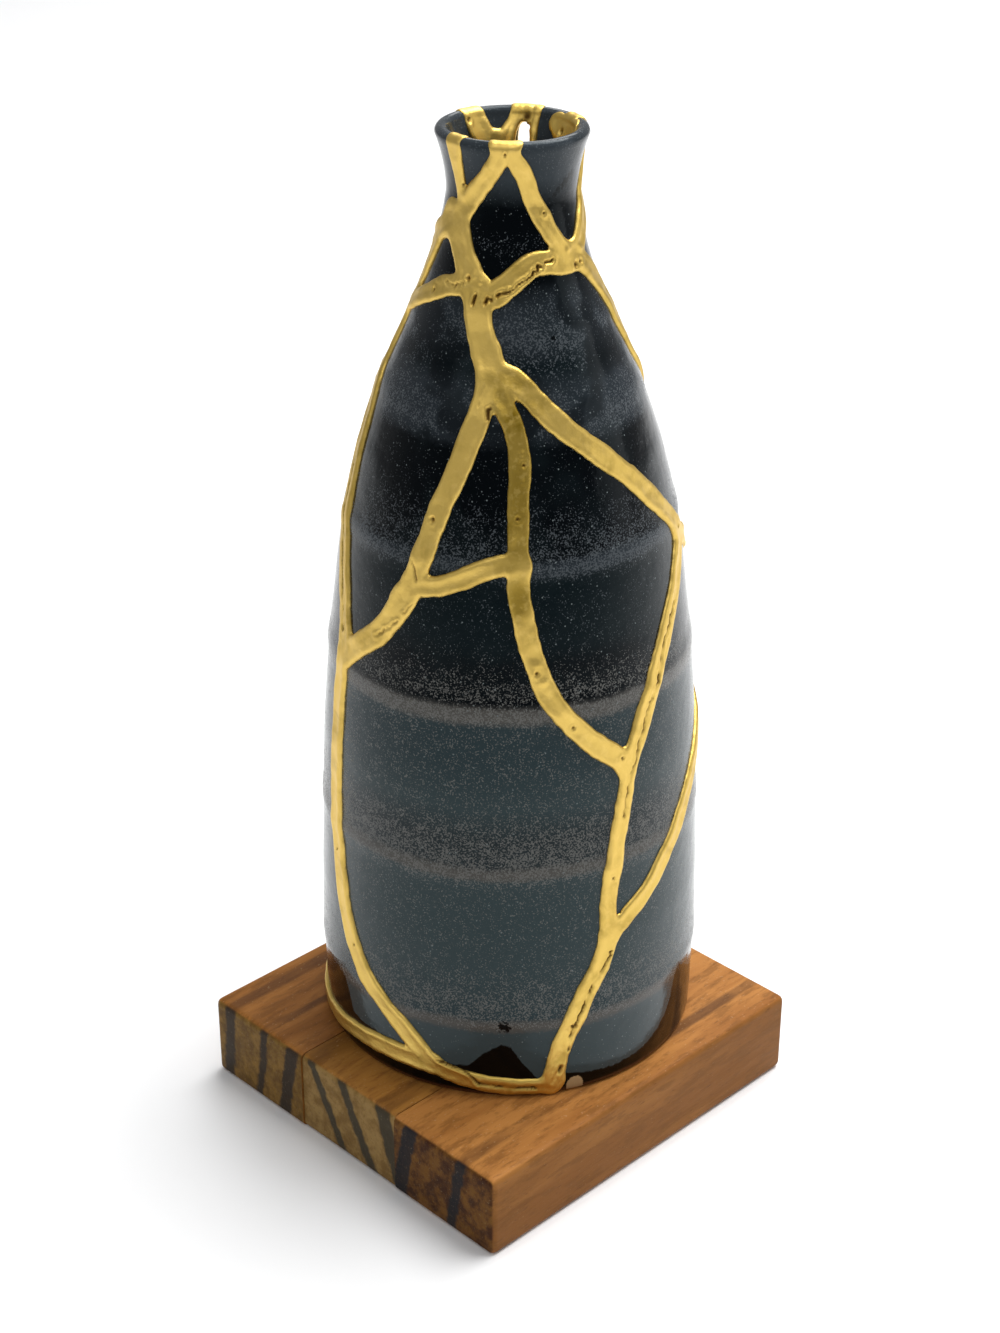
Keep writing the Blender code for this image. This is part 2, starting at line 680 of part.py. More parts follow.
def make_stand(collection, workshop, cutters):
    """The stand's glued boards, eased on their outer edges."""
    bpy.ops.mesh.primitive_cube_add(size=1.0, location=(0.0, 0.0, STAND_HEIGHT / 2))
    block = bpy.context.object
    block.name = "block"
    block.data.transform(Matrix.Diagonal((STAND_WIDTH, STAND_LENGTH, STAND_HEIGHT, 1.0)))
    for holder in block.users_collection:
        holder.objects.unlink(block)
    workshop.objects.link(block)
    ease = block.modifiers.new("Ease", "BEVEL")
    ease.width = STAND_EDGE
    ease.segments = EDGE_STEPS
    board = STAND_WIDTH / len(BOARD_NAMES)
    for joint in range(1, len(BOARD_NAMES)):
        mesh = bmesh.new()
        bmesh.ops.create_cube(mesh, size=1.0)
        size = Matrix.Diagonal((GLUE_LINE, STAND_LENGTH * 2, STAND_HEIGHT * 2, 1.0))
        place = Matrix.Translation((joint * board - STAND_WIDTH / 2, 0.0, STAND_HEIGHT / 2))
        bmesh.ops.transform(mesh, matrix=place @ size, verts=mesh.verts)
        as_cutter(object_from("glue_line_%d" % joint, mesh, cutters))
    add_boolean(block, "DIFFERENCE", cutters)
    parted = evaluated(block, "parted_block")
    places = {}
    for number, side in enumerate(BOARD_NAMES):
        across = (number + 0.5) * board - STAND_WIDTH / 2
        places["stand_board_" + side] = Vector((across, 0.0, STAND_HEIGHT / 2))
    boards = name_islands(islands(parted), places, collection)
    for piece in boards.values():
        finish_material(piece, WALNUT)
    bpy.data.meshes.remove(parted)


def main():
    for obj in list(bpy.data.objects):
        bpy.data.objects.remove(obj)
    vase = new_collection("kintsugi_vase")
    workshop = new_collection("workshop")
    joints = new_collection("joint_cutters")
    glue_lines = new_collection("glue_line_cutters")
    make_stand(vase, workshop, glue_lines)
    make_shards(vase, workshop, joints)
    make_gold(vase, workshop)
    for obj in list(workshop.objects):
        bpy.data.objects.remove(obj)
    for obj in vase.objects:
        obj.data.shade_smooth()
        obj.data.set_sharp_from_angle(angle=SHARP_ANGLE)


main()
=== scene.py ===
"""The looks of a mended stoneware vase on its wooden stand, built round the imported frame.

Lengths are in millimetres until a mesh is made. A place on the vase is a turn in degrees to the
right of its front, and a travel in millimetres: up the outer side from the foot, over the lip and
down the inner side. A travel below zero lies under the foot, that far in from its edge.
"""
import math

import bmesh
import bpy
import numpy as np
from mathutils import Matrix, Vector, noise

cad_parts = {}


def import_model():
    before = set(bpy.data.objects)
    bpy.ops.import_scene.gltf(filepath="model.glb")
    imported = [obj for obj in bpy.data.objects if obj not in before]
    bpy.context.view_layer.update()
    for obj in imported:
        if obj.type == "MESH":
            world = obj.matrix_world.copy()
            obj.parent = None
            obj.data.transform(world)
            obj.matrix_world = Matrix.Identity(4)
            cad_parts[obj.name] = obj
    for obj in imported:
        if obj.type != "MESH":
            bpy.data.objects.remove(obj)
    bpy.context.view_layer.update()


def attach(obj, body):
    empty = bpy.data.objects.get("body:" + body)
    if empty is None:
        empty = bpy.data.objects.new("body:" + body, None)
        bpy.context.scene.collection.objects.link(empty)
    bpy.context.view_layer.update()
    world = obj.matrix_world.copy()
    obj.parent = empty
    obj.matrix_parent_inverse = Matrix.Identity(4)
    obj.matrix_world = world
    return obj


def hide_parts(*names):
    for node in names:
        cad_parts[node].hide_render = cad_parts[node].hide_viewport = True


MM = 0.001

# Sizes of the vase and its place on the stand
VASE_X = -1.8
VASE_Y = 4.2
FOOT_LEVEL = 19.05
FRONT_TURN = -45.0
NECK_RADIUS = 12.3
LIP_RADIUS = 14.4
LIP_TUBE = 1.3
LIP_RING = LIP_RADIUS - LIP_TUBE
LIP_HEIGHT = 191.1
NECK_HEIGHT = 180.1
LIP_FLARE = 1.9
LIP_ARC = math.pi * LIP_TUBE
RIM = LIP_HEIGHT + LIP_ARC / 2
FOOT_RADIUS = 39.6
FLOOR_LEVEL = 5.5
CORNER = 14.0

# The outline's radius at each height
OUTLINE = ((0, 39.5), (5, 39.7), (12, 39.8), (20, 40.0), (36, 39.65), (52, 39.15), (60, 38.85),
           (68, 38.4), (76, 37.85), (84, 37.2), (92, 36.4), (100, 35.4), (108, 34.4), (116, 33.1),
           (124, 31.3), (132, 29.0), (140, 26.3), (148, 23.0), (156, 19.4), (164, 16.1),
           (172, 13.75), (180.1, 12.3))

# The ridges that the thrower's fingers left: height, how far they stand out, and their width
RIDGES = ((19, 0.22, 2.2), (36, 0.1, 4.0), (53, 0.24, 2.2), (70, 0.1, 5.0), (89, 0.32, 2.4),
          (117.5, 0.26, 2.2), (131, 0.1, 3.0), (144, 0.24, 2.6), (158, 0.22, 2.2), (174, 0.16, 2.0))

# The wall's thickness at each height
WALL = ((0, 3.8), (138.5, 3.8), (180.1, 3.0), (191.1, 2.6))


def inside(height):
    """The travel of a place on the inner side."""
    return LIP_HEIGHT + LIP_ARC + LIP_HEIGHT - height


def smooth_curve(table, place):
    """A smooth curve through the table's points."""
    xs, ys = np.array(table, float).T
    slopes = np.gradient(ys, xs)
    place = np.clip(place, xs[0], xs[-1])
    span = np.clip(np.searchsorted(xs, place, side="right") - 1, 0, len(xs) - 2)
    width = xs[span + 1] - xs[span]
    t = (place - xs[span]) / width
    rise = t * t * (3 - 2 * t)
    bend = t * (1 - t) * width * ((1 - t) * slopes[span] - t * slopes[span + 1])
    return ys[span] + (ys[span + 1] - ys[span]) * rise + bend


def bell(distance, width):
    """1 in the middle, falling smoothly to 0 with the distance."""
    return np.exp(-(distance / width) ** 2)


def outer_radius(height):
    """The outer radius at a height."""
    radius = smooth_curve(OUTLINE, height)
    for middle, stand, width in RIDGES:
        radius = radius + stand * bell(height - middle, width)
    climb = np.clip((height - NECK_HEIGHT) / (LIP_HEIGHT - NECK_HEIGHT), 0, 1)
    return radius + (LIP_RADIUS - NECK_RADIUS) * climb ** LIP_FLARE


def inner_radius(height):
    """The inner radius at a height, one wall in."""
    wall = np.interp(height, *zip(*WALL))
    slope = outer_radius(height + 0.5) - outer_radius(height - 0.5)
    slope = np.where(height < NECK_HEIGHT, np.minimum(slope * slope, 0.5), 0.0)
    return outer_radius(height) - wall * np.sqrt(1 + slope)


def skin(travel):
    """Radius and height along the outer side, the lip and the inner side."""
    travel = np.asarray(travel, float)
    turn = np.clip((travel - LIP_HEIGHT) / LIP_ARC, 0, 1) * math.pi
    down = np.clip(inside(0) - travel, 0, LIP_HEIGHT)
    radius = np.where(travel <= LIP_HEIGHT, outer_radius(np.minimum(travel, LIP_HEIGHT)),
                      LIP_RING + LIP_TUBE * np.cos(turn))
    height = np.where(travel <= LIP_HEIGHT, travel, LIP_HEIGHT + LIP_TUBE * np.sin(turn))
    within = travel > LIP_HEIGHT + LIP_ARC
    return np.where(within, inner_radius(down), radius), np.where(within, down, height)


def skin_frame(travel):
    """Radius, height and the outward normal along the skin."""
    radius, height = skin(travel)
    after, before = skin(np.asarray(travel) + 0.15), skin(np.asarray(travel) - 0.15)
    across, up = after[0] - before[0], after[1] - before[1]
    length = np.hypot(across, up)
    return radius, height, up / length, -across / length


def in_space(radius, height, turns):
    """Points of the row frame, in millimetres, from radius, height and turn."""
    angle = np.radians(np.asarray(turns) + FRONT_TURN)
    return np.stack([VASE_X + radius * np.cos(angle), VASE_Y + radius * np.sin(angle),
                     FOOT_LEVEL + height + 0 * angle], -1)


# Where the seams meet: turn and travel
JUNCTIONS = {
    "rim_left": (-48, RIM), "rim_front": (-5, RIM), "rim_right": (117, RIM),
    "rim_back": (168, RIM), "rim_far_left": (222, RIM),
    "neck_left": (-49, 177.2), "neck_front": (-25, 165.2), "neck_right": (55, 169.8),
    "patch_side": (172, 190), "vee": (200, 187), "stem": (198, 171),
    "shoulder_front": (-9.5, 151.5), "shoulder_back": (194, 150),
    "back_right": (150, 130), "back_left": (210, 112), "side_right": (77, 113.5),
    "middle": (2.5, 118.6), "left_knee": (-33, 112), "left_side": (-62.5, 91.5),
    "right_knee": (37.5, 73.5), "back_elbow": (146, 88), "back_low": (150, 66),
    "right_low": (31, 37), "foot_fork": (-23.5, 6.3), "foot_front": (13, 2.4),
    "foot_back": (210, 4.5),
}

# Each seam: its junctions, the places between them, half its width, and how dark its gold is
SEAMS = (
    ("rim_left", "neck_left", ((-48.5, 188), (-48, 184), (-47, 181)), (2, 0.9), 0),
    ("rim_front", "neck_left", ((-11, 189), (-19, 186), (-30.5, 182.8), (-40, 180)),
     (1.55, 2.3), 0),
    ("rim_front", "neck_right",
     ((2.5, 189), (10, 186), (17, 182), (25.5, 178), (35.5, 174), (45, 171)), (1.45, 2.1), 0.1),
    ("neck_left", "neck_front", ((-42, 172.5), (-34, 169)), 2.6, 0),
    ("neck_left", "stem",
     ((-60, 175.6), (-74, 173.6), (-90, 171.6), (-112, 170.5), (-138, 170.5)), 2.2, 0.1),
    ("neck_front", "shoulder_back",
     ((-35, 165.6), (-50, 164.5), (-65, 162.4), (-80, 160), (-94, 157.5), (-116, 153.5),
      (-141, 151)), 2, 0),
    ("neck_front", "neck_right",
     ((-15, 164.2), (-5, 165.8), (5, 168), (15, 169.6), (28, 169.9), (42, 169.4)), 2.3, 0.2),
    ("neck_right", "rim_right",
     ((64, 172.2), (74, 175), (86, 178), (99, 182.5), (111, 188)), 2.1, 0.1),
    ("neck_right", "back_right",
     ((64, 168), (74, 165.2), (84, 160.5), (92, 153), (101, 145), (114, 138), (131, 132.5)),
     2.3, 0.2),
    ("patch_side", "vee", ((181, 189.2), (190, 187.8)), 1.6, 0),
    ("rim_far_left", "vee", ((218, 190), (210, 188)), 2, 0),
    ("vee", "stem", ((199, 182), (197, 176)), 2.3, 0),
    ("stem", "shoulder_back", ((198, 164), (196, 157)), 2.3, 0.1),
    ("shoulder_back", "back_right", ((183, 146), (167, 139)), 2.2, 0),
    ("shoulder_back", "back_left", ((198, 139), (206, 126)), 2.2, 0.1),
    ("neck_front", "shoulder_front", ((-21, 161), (-15, 156)), 2.6, 0),
    ("shoulder_front", "side_right",
     ((0, 150.6), (10, 147.2), (20, 142.8), (32, 138), (46, 131.8), (60, 124.5), (70, 118.6)),
     2.2, 0.15),
    ("shoulder_front", "middle",
     ((-4, 147), (1, 142.6), (3.4, 137.5), (3, 130), (2.6, 124)), 2.1, 0.8),
    ("shoulder_front", "left_knee",
     ((-12.5, 146), (-16, 140.5), (-20.5, 134), (-25, 128), (-28.5, 121)), 2.3, 0.05),
    ("left_knee", "middle", ((-25, 112.4), (-17, 114.4), (-8, 117)), 2.1, 0.1),
    ("left_knee", "left_side", ((-37, 107.4), (-42.5, 102), (-50, 97.2), (-57, 93.8)), 2.6, 0),
    ("left_side", "back_left",
     ((-64, 97), (-67.5, 104), (-72, 111.5), (-76, 119), (-79, 127), (-82.5, 136), (-90, 143),
      (-103, 142), (-120, 134), (-138, 122)), 2.5, 0.25),
    ("left_side", "foot_fork",
     ((-64.2, 84), (-64.5, 71), (-64, 58), (-62, 47), (-60, 40), (-56.8, 33), (-53, 27),
      (-46.5, 21.3), (-39, 16.8), (-31, 11.8)), 2.4, 0),
    ("middle", "right_knee",
     ((3, 112), (5, 105), (8, 98), (11.5, 92), (17, 86.8), (25, 81), (32, 77.2)), 2.2, 0.1),
    ("right_knee", "side_right",
     ((41, 78), (46, 85), (52, 91.8), (60, 99.2), (69, 106.8)), 2.3, 0.1),
    ("side_right", "back_elbow", ((88, 110.5), (101, 105.5), (116, 99.5), (131, 93.5)), 2.3, 0),
    ("right_knee", "right_low", ((36, 67), (34, 60.5), (32.2, 53.5), (30.7, 47), (30.2, 41.5)),
     2, 0.05),
    ("right_low", "back_low",
     ((36, 39.2), (42.5, 42.4), (50, 46.8), (60, 54), (70, 60.3), (81, 66), (94, 70.5),
      (112, 72), (132, 70)), 2.2, 0.15),
    ("right_low", "foot_front", ((28, 30.5), (24, 25.3), (20, 19), (17, 13.8), (14.8, 8.8)),
     2.3, 0.1),
    ("back_right", "back_elbow", ((153, 116), (151, 101)), 2.2, 0.1),
    ("back_elbow", "back_low", ((149.5, 77),), 2.2, 0),
    ("back_left", "back_low", ((207, 99), (196, 86), (180, 76), (164, 69.5)), 2.2, 0.1),
    ("back_low", "foot_back", ((158, 51), (171, 35), (190, 18), (202, 9.5)), 2.2, 0),
    ("foot_fork", "foot_front", ((-16, 4.6), (-7, 3.4), (3, 2.7)), (2.3, 1.8), 0.35),
    ("foot_fork", "foot_back",
     ((-32, 6.1), (-42, 6), (-53, 5.2), (-66, 3.8), (-82, 3), (-105, 3.4), (-130, 4.4)),
     (2.6, 0.9), 0.1),
)

# A crack in the left shoulder that was filled with gold but doesn't part two shards
FILLED_CRACK = ((-89, 143), (-93, 149), (-93.5, 156), (-91, 162), (-84, 168), (-74, 172.5),
                (-62, 175))

# The joint under the foot, which carries no gold
FOOT_JOINT = ((13, 2.4), (14.5, -1), (13, -9), (8, -18), (-14, -29), (-68, -32), (-112, -30),
              (-138, -20), (-148, -9), (-150, -1), (-150, 4.5))

# Joints by the hole at the back of the rim, under the mouth's gold
RIM_JOINTS = (((168, RIM), (168.5, 181.5), (168.5, 181)), ((168, 190), (172, 190)))

# Gold inside the mouth and over the lip: its places, and its half width at each end
MOUTH_GOLD = (
    (((-48, RIM), (-47.5, inside(187)), (-49, inside(181))), 1.6, 1.2),
    (((-5, RIM - 0.6), (-5, RIM + 1), (-4, inside(189.5))), 3.2, 1.8),
    (((117, RIM - 1), (117, RIM + 1), (117, inside(190.6))), 0.9, 1.2),
    (((103, inside(190.2)), (112, inside(189.2)), (123, inside(189.2)), (131, inside(190.2))),
     2.5, 2.3),
    (((110, inside(190.9)), (118, inside(190.9)), (125, inside(190.9))), 1.3, 1.2),
    (((219.5, RIM - 0.5), (217, inside(190)), (213.5, inside(188)), (208, inside(185.5)),
      (203, inside(183))), 2.4, 2.6),
    (((174, RIM), (176, inside(190)), (182, inside(188)), (188, inside(186)),
      (195, inside(183.5))), 1.6, 2.2),
    (((199, inside(184.8)), (198, inside(179)), (198, inside(172))), 3.9, 3),
    (((157, RIM), (158, inside(190)), (158.8, inside(186)), (160, inside(179))), 1, 0.55),
    (((166, RIM - 1.5), (166, RIM), (166, inside(190.4))), 1.7, 1.2),
    (((168, 190), (168.5, 185), (169, 181.5)), 3, 2.4),
    (((170, inside(181.5)), (172, inside(177))), 2.6, 2.4),
)

# Pools where the gold runs together: turn, travel, half width and half height
POOLS = (
    (-50, 176, 2.6, 3.6), (-60, 177, 2.6, 3.2), (50, 170.2, 3.3, 2.7),
    (-10.5, 153, 2.2, 3.6), (-25, 165.6, 2.6, 2.4),
    (-36, 108.5, 2.6, 3), (-61.5, 92, 2.6, 3), (76, 114.5, 2.3, 2.6), (36.5, 74.5, 2.4, 2.8),
    (31, 37.5, 2.4, 3), (-24, 6.4, 3.2, 1.9), (2.8, 117.5, 2.4, 2.2), (13.6, 3.4, 2.3, 2),
)

# The hole that is left open through the wall at the back of the rim
HOLE = (169, 186.4, 1.35, 3.5)

# Pits and bubbles in the gold: turn, travel, radius, and depth (below zero for a bump)
PITS = (
    (-30.6, 167, 0.4, 0.6), (-27.5, 125, 0.45, 0.6), (-59, 163.2, 0.35, 0.4),
    (-52, 27.5, 0.35, 0.4), (52, 168.3, 0.6, 0.8),
    (-43, 183.5, 0.3, 0.4), (-5, 190.5, 0.25, 0.4), (31.5, 50, 0.3, 0.4),
    (4.7, 138, 0.5, -0.22), (5, 136, 0.36, 0.3), (4.7, 133, 0.42, -0.2),
    (2.5, 126.5, 0.42, 0.35), (8, 98.5, 0.85, -0.35), (10, 95, 0.75, -0.35),
    (8.2, 96.8, 0.4, 0.45), (27, 178.5, 0.75, -0.25), (26.5, 178.8, 0.3, 0.4),
    (46, 171.6, 0.6, -0.3), (60, 171, 0.7, -0.35), (57, 168.6, 0.45, 0.4),
    (121, inside(189), 0.45, 0.7), (166, inside(190.6), 0.9, 0.5),
    (226, inside(190.6), 0.4, 0.5), (-26, 167.6, 0.8, -0.35), (-21, 166.6, 0.5, -0.3),
    (19, 85, 0.35, 0.35), (35, 76, 0.35, 0.35), (75, 115.5, 0.4, 0.35), (-62, 47, 0.3, 0.3),
    (100, 145.5, 0.5, 0.5), (196, 160, 0.5, 0.5), (150, 100, 0.45, 0.4), (-100, 142, 0.5, -0.3),
    (198, 130, 0.4, 0.4), (172, 35, 0.45, 0.4), (-110, 4.2, 0.4, 0.4), (108, 72, 0.4, 0.4),
)

# Darker brown patches in the gold: turn, travel, half width, half height, and how dark
DARK_GOLD_PATCHES = (
    (3.2, 131, 3, 11, 0.95), (2.8, 111.5, 2.8, 4.6, 0.95), (1.5, 119.5, 3, 1.6, 0.5),
    (-2.5, 117.8, 3.2, 1.3, 0.45), (4, 150.4, 7, 1.8, 0.7), (12, 146.8, 4, 1.6, 0.45),
    (2, 143, 2.4, 3, 0.5), (8.5, 99, 2.6, 3.2, 0.25), (24, 178.2, 3, 3, 0.22),
    (-26, 6.2, 4, 1.3, 0.25), (0, 3, 9, 1.1, 0.35), (-24, 165, 3, 2.6, 0.25),
    (-47, 99, 3, 2.6, 0.25), (5, 166, 7, 1.4, 0.3),
)

# Cracks and folds along the gold: places, half width, depth, and the lips that stand beside them
CRACKS = (
    (((-24.3, 162.6), (-24, 163.6), (-23.8, 164.4)), 0.26, 0.7, 0.1),
    (((-17, 163.4), (-13, 163.8)), 0.28, 0.6, 0.15),
    (((-9, 164.3), (-6, 164.9), (-2, 165.3)), 0.26, 0.55, 0.22),
    (((-1, 165.4), (4, 166.3), (10, 167.3), (14, 168), (17, 168.7)), 0.22, 0.5, 0.25),
    (((18, 169.1), (21, 169.4)), 0.28, 0.5, 0.2),
    (((25, 169.9), (31, 170.4)), 0.28, 0.5, 0.2),
    (((-47, 165.3), (-40, 165), (-34, 166.2)), 0.24, 0.3, 0.15),
    (((-9.8, 144.2), (-8.9, 145.6)), 0.42, 0.8, 0.1),
    (((-12.5, 149), (-14, 146)), 0.2, 0.2, 0.05),
    (((-46, 99), (-42, 101.2), (-37, 104)), 0.24, 0.16, 0.16),
    (((-35, 106), (-31, 108.5), (-28, 110)), 0.2, 0.14, 0.1),
    (((-64.4, 96), (-67.5, 104), (-72, 111.5), (-76, 119), (-79, 127)), 0.26, 0.38, 0.08),
    (((64, 102.5), (62, 101), (59, 98.5), (55, 95.5), (52, 91), (47.5, 86.3)), 0.3, 0.4, 0.1),
    (((47.5, 86.3), (42, 79), (40, 75), (38, 72), (36, 67), (35, 63)), 0.22, 0.22, 0.05),
    (((31, 33), (28.4, 29.5), (25, 26), (22.8, 22.6), (21, 20), (19.5, 17)), 0.23, 0.4, 0.14),
    (((19.5, 17), (18, 14), (18, 11)), 0.32, 0.45, 0.1),
    (((16, 7), (14.8, 5), (13, 3.5)), 0.32, 0.45, 0.12),
    (((-21, 7.8), (-16, 6.9), (-12, 6), (-9, 3.7)), 0.32, 0.45, 0.14),
    (((-9, 3.5), (0, 2.8), (8, 2.5)), 0.28, 0.35, 0.1),
    (((-33, 117), (-31, 113)), 0.25, 0.25, 0.06),
    (((120, 138), (126, 136), (130, 134)), 0.3, 0.4, 0.12),
    (((150, 98), (150, 92), (147, 86)), 0.3, 0.4, 0.12),
    (((197, 168), (198, 160), (196, 154)), 0.3, 0.4, 0.12),
    (((180, 77), (168, 71), (158, 67)), 0.3, 0.35, 0.12),
    (((-80, 3.6), (-95, 3.6), (-105, 4)), 0.3, 0.35, 0.1),
)

# The edge between the grey glaze and the brown one under it: turn and height
BROWN_EDGE = ((-180, 12), (-160, 9), (-140, 14), (-118, 8), (-96, 12), (-80, 19), (-66, 18.5),
              (-59.5, 17), (-57, 13), (-55, 9.2), (-50, 8.6), (-40, 8.6), (-30, 8.2), (-20, 6.8),
              (-12, 7.4), (-7, 11), (-2, 13.4), (1, 12.4), (5, 8), (9, 4.4), (14, 4.8),
              (18, 5), (24, 4), (30, 3.4), (40, 3.5), (47, 4.6), (52, 6.4), (56, 8.4),
              (59, 11.5), (60.5, 16), (63, 19), (70, 16), (78, 11), (92, 9), (110, 14), (126, 8),
              (146, 12), (164, 9), (180, 12))

# Small dark marks in the glaze: turn, height and size
DARK_MARKS = ((-1.5, 18, 1), (-0.2, 17.4, 0.6), (24, 157, 0.5), (59, 184.7, 1),
              (55.5, 184.2, 0.9), (51.5, 183.7, 0.84), (47, 183.1, 0.72), (42.5, 182.4, 0.6),
              (38, 181.7, 0.5), (34, 181.1, 0.4))

# A chip at the foot that shows the bare clay: turn, height, half width and half height
BARE_CLAY = (20.5, 1.4, 1.9, 2.2)

# A place inside each shard, to name it by, and its finish in the record
SHARDS = {
    "shard_front_panel": (-15, 60, "glaze_blue_grey"),
    "shard_front_sliver": (-8, 130, "glaze_blue_black"),
    "shard_right_panel": (30, 110, "glaze_blue_grey"),
    "shard_right_side": (70, 80, "glaze_blue_grey"),
    "shard_foot_right": (60, 25, "glaze_blue_grey"),
    "shard_left_shoulder": (-45, 135, "glaze_blue_black"),
    "shard_left_side": (-90, 70, "glaze_blue_grey"),
    "shard_foot_left": (-60, -25, "glaze_brown"),
    "shard_neck_left": (-80, 183, "glaze_blue_black"),
    "shard_rim_front": (-33, 188.5, "glaze_blue_black"),
    "shard_neck_front": (0, 176, "glaze_blue_black"),
    "shard_neck_right": (50, 182, "glaze_blue_black"),
    "shard_right_shoulder": (60, 145, "glaze_blue_black"),
    "shard_neck_base": (-90, 166, "glaze_blue_black"),
    "shard_neck_back": (140, 175, "glaze_blue_black"),
    "shard_back_panel": (178, 105, "glaze_blue_grey"),
    "shard_rim_back": (200, 190.6, "glaze_blue_black"),
}


def smooth_line(points, step=0.8):
    """Points about a step apart on a smooth line through turns and travels."""
    points = np.array(points, float)
    padded = np.vstack([points[:1], points, points[-1:]])
    line = []
    for p0, p1, p2, p3 in zip(padded, padded[1:], padded[2:], padded[3:]):
        radius = skin((p1[1] + p2[1]) / 2)[0]
        reach = math.hypot(math.radians(p2[0] - p1[0]) * radius, p2[1] - p1[1])
        count = max(2, int(reach / step))
        t = (np.arange(count) / count)[:, None]
        bend = (2 * p0 - 5 * p1 + 4 * p2 - p3) * t * t + (3 * p1 - p0 - 3 * p2 + p3) * t ** 3
        line.append((2 * p1 + (p2 - p0) * t + bend) / 2)
    line.append(points[-1:])
    return np.vstack(line)


def seam_line(start, end, between):
    """A seam's smooth line from one junction to the other, the short way round."""
    points = [JUNCTIONS[start]]
    for turn, travel in tuple(between) + (JUNCTIONS[end],):
        points.append((turn - 360 * round((turn - points[-1][0]) / 360), travel))
    return smooth_line(points)


# What a field holds where nothing is near
FAR = 99.0


class Sheet:
    """A grid over the vase's skin, with columns all round and rows along the travel."""

    def __init__(self, turns, travels):
        self.turns = np.asarray(turns, float)
        self.travels = np.asarray(travels, float)
        self.radius = np.abs(skin(self.travels)[0])
        under = self.travels < 0
        self.radius[under] = np.maximum(FOOT_RADIUS + self.travels[under], 0.2)

    def near(self, turn, travel, reach):
        """The rows and columns within reach of a place, and how far off each is."""
        rows = np.where(np.abs(self.travels - travel) <= reach)[0]
        if not len(rows):
            return None
        radius = self.radius[rows]
        apart = (self.turns - turn + 180) % 360 - 180
        columns = np.where(np.abs(np.radians(apart)) * radius.min() <= reach)[0]
        if not len(columns):
            return None
        across = np.radians(apart[columns])[None, :] * radius[:, None]
        up = (self.travels[rows] - travel)[:, None] + 0 * across
        return np.ix_(rows, columns), across, up

    def spread(self, radius, height):
        """The grid's points in space, from the radius and height of each row."""
        return in_space(radius[:, None], height[:, None], self.turns[None, :])

    def blank(self, value):
        """The same value at every grid point."""
        return np.full((len(self.travels), len(self.turns)), float(value))

    def distance(self, line, halves, reach):
        """How far each grid point lies outside a strip with this middle line and half widths."""
        field = self.blank(FAR)
        halves = np.broadcast_to(np.asarray(halves, float), len(line))
        for (a, b), low, high in zip(zip(line, line[1:]), halves, halves[1:]):
            middle = (a + b) / 2
            found = self.near(middle[0], middle[1], reach)
            if found is None:
                continue
            where, across, up = found
            radius = self.radius[where[0][:, 0]][:, None]
            dx, dy = np.radians(b[0] - a[0]) * radius, b[1] - a[1]
            length = np.maximum(dx * dx + dy * dy, 1e-9)
            t = np.clip(0.5 + (across * dx + up * dy) / length, 0, 1)
            off = np.hypot(across - (t - 0.5) * dx, up - (t - 0.5) * dy)
            field[where] = np.minimum(field[where], off - (low + (high - low) * t))
        return field

    def oval(self, turn, travel, wide, tall, reach=9.0):
        """How far each grid point lies outside an oval, roughly."""
        field = self.blank(FAR)
        found = self.near(turn, travel, reach)
        if found is not None:
            where, across, up = found
            share = np.hypot(across / wide, up / tall)
            field[where] = (share - 1) * min(wide, tall)
        return field


def blended(first, second, width):
    """The smaller of two fields, rounded where they cross."""
    share = np.clip(0.5 + (second - first) / (2 * width), 0, 1)
    return second + (first - second) * share - width * share * (1 - share)


def wobble(points, size, seed):
    """Smooth noise at each point, between about -1 and 1."""
    shift = Vector((seed * 17.3, seed * 5.1, seed * 9.7))
    return np.array([noise.noise(Vector(point) / size + shift) for point in points])


def steps(low, high, size):
    """Even steps of about this size from low to high, both ends included."""
    return np.linspace(low, high, max(2, int(round((high - low) / size)) + 1))


# ---- meshes and materials

def placed(name, data):
    """A new object in the scene."""
    obj = bpy.data.objects.new(name, data)
    bpy.context.scene.collection.objects.link(obj)
    return obj


def mesh_object(name, points, faces):
    """An object with a smooth mesh, from points in millimetres."""
    mesh = bpy.data.meshes.new(name)
    mesh.from_pydata((np.asarray(points) * MM).tolist(), [], [list(face) for face in faces])
    mesh.validate()
    mesh.shade_smooth()
    return placed(name, mesh)


def give_values(obj, name, values):
    """A number at each point of the mesh, for the material to read."""
    attribute = obj.data.attributes.new(name, "FLOAT", "POINT")
    attribute.data.foreach_set("value", np.asarray(values, np.float32))


def cell_faces(cells):
    """The grid points that the chosen cells use, their faces by number, and the open edges."""
    rows, columns = np.where(cells)
    beside = (columns + 1) % cells.shape[1]
    corners = ((rows, columns), (rows, beside), (rows + 1, beside), (rows + 1, columns))
    used = np.zeros((cells.shape[0] + 1, cells.shape[1]), bool)
    for corner in corners:
        used[corner] = True
    number = np.full(used.shape, -1)
    number[used] = np.arange(used.sum())
    quads = np.stack([number[corner] for corner in corners], -1)
    edges = {}
    for quad in quads.tolist():
        for first, second in zip(quad, quad[1:] + quad[:1]):
            if edges.pop((second, first), None) is None:
                edges[first, second] = True
    return used, quads, edges


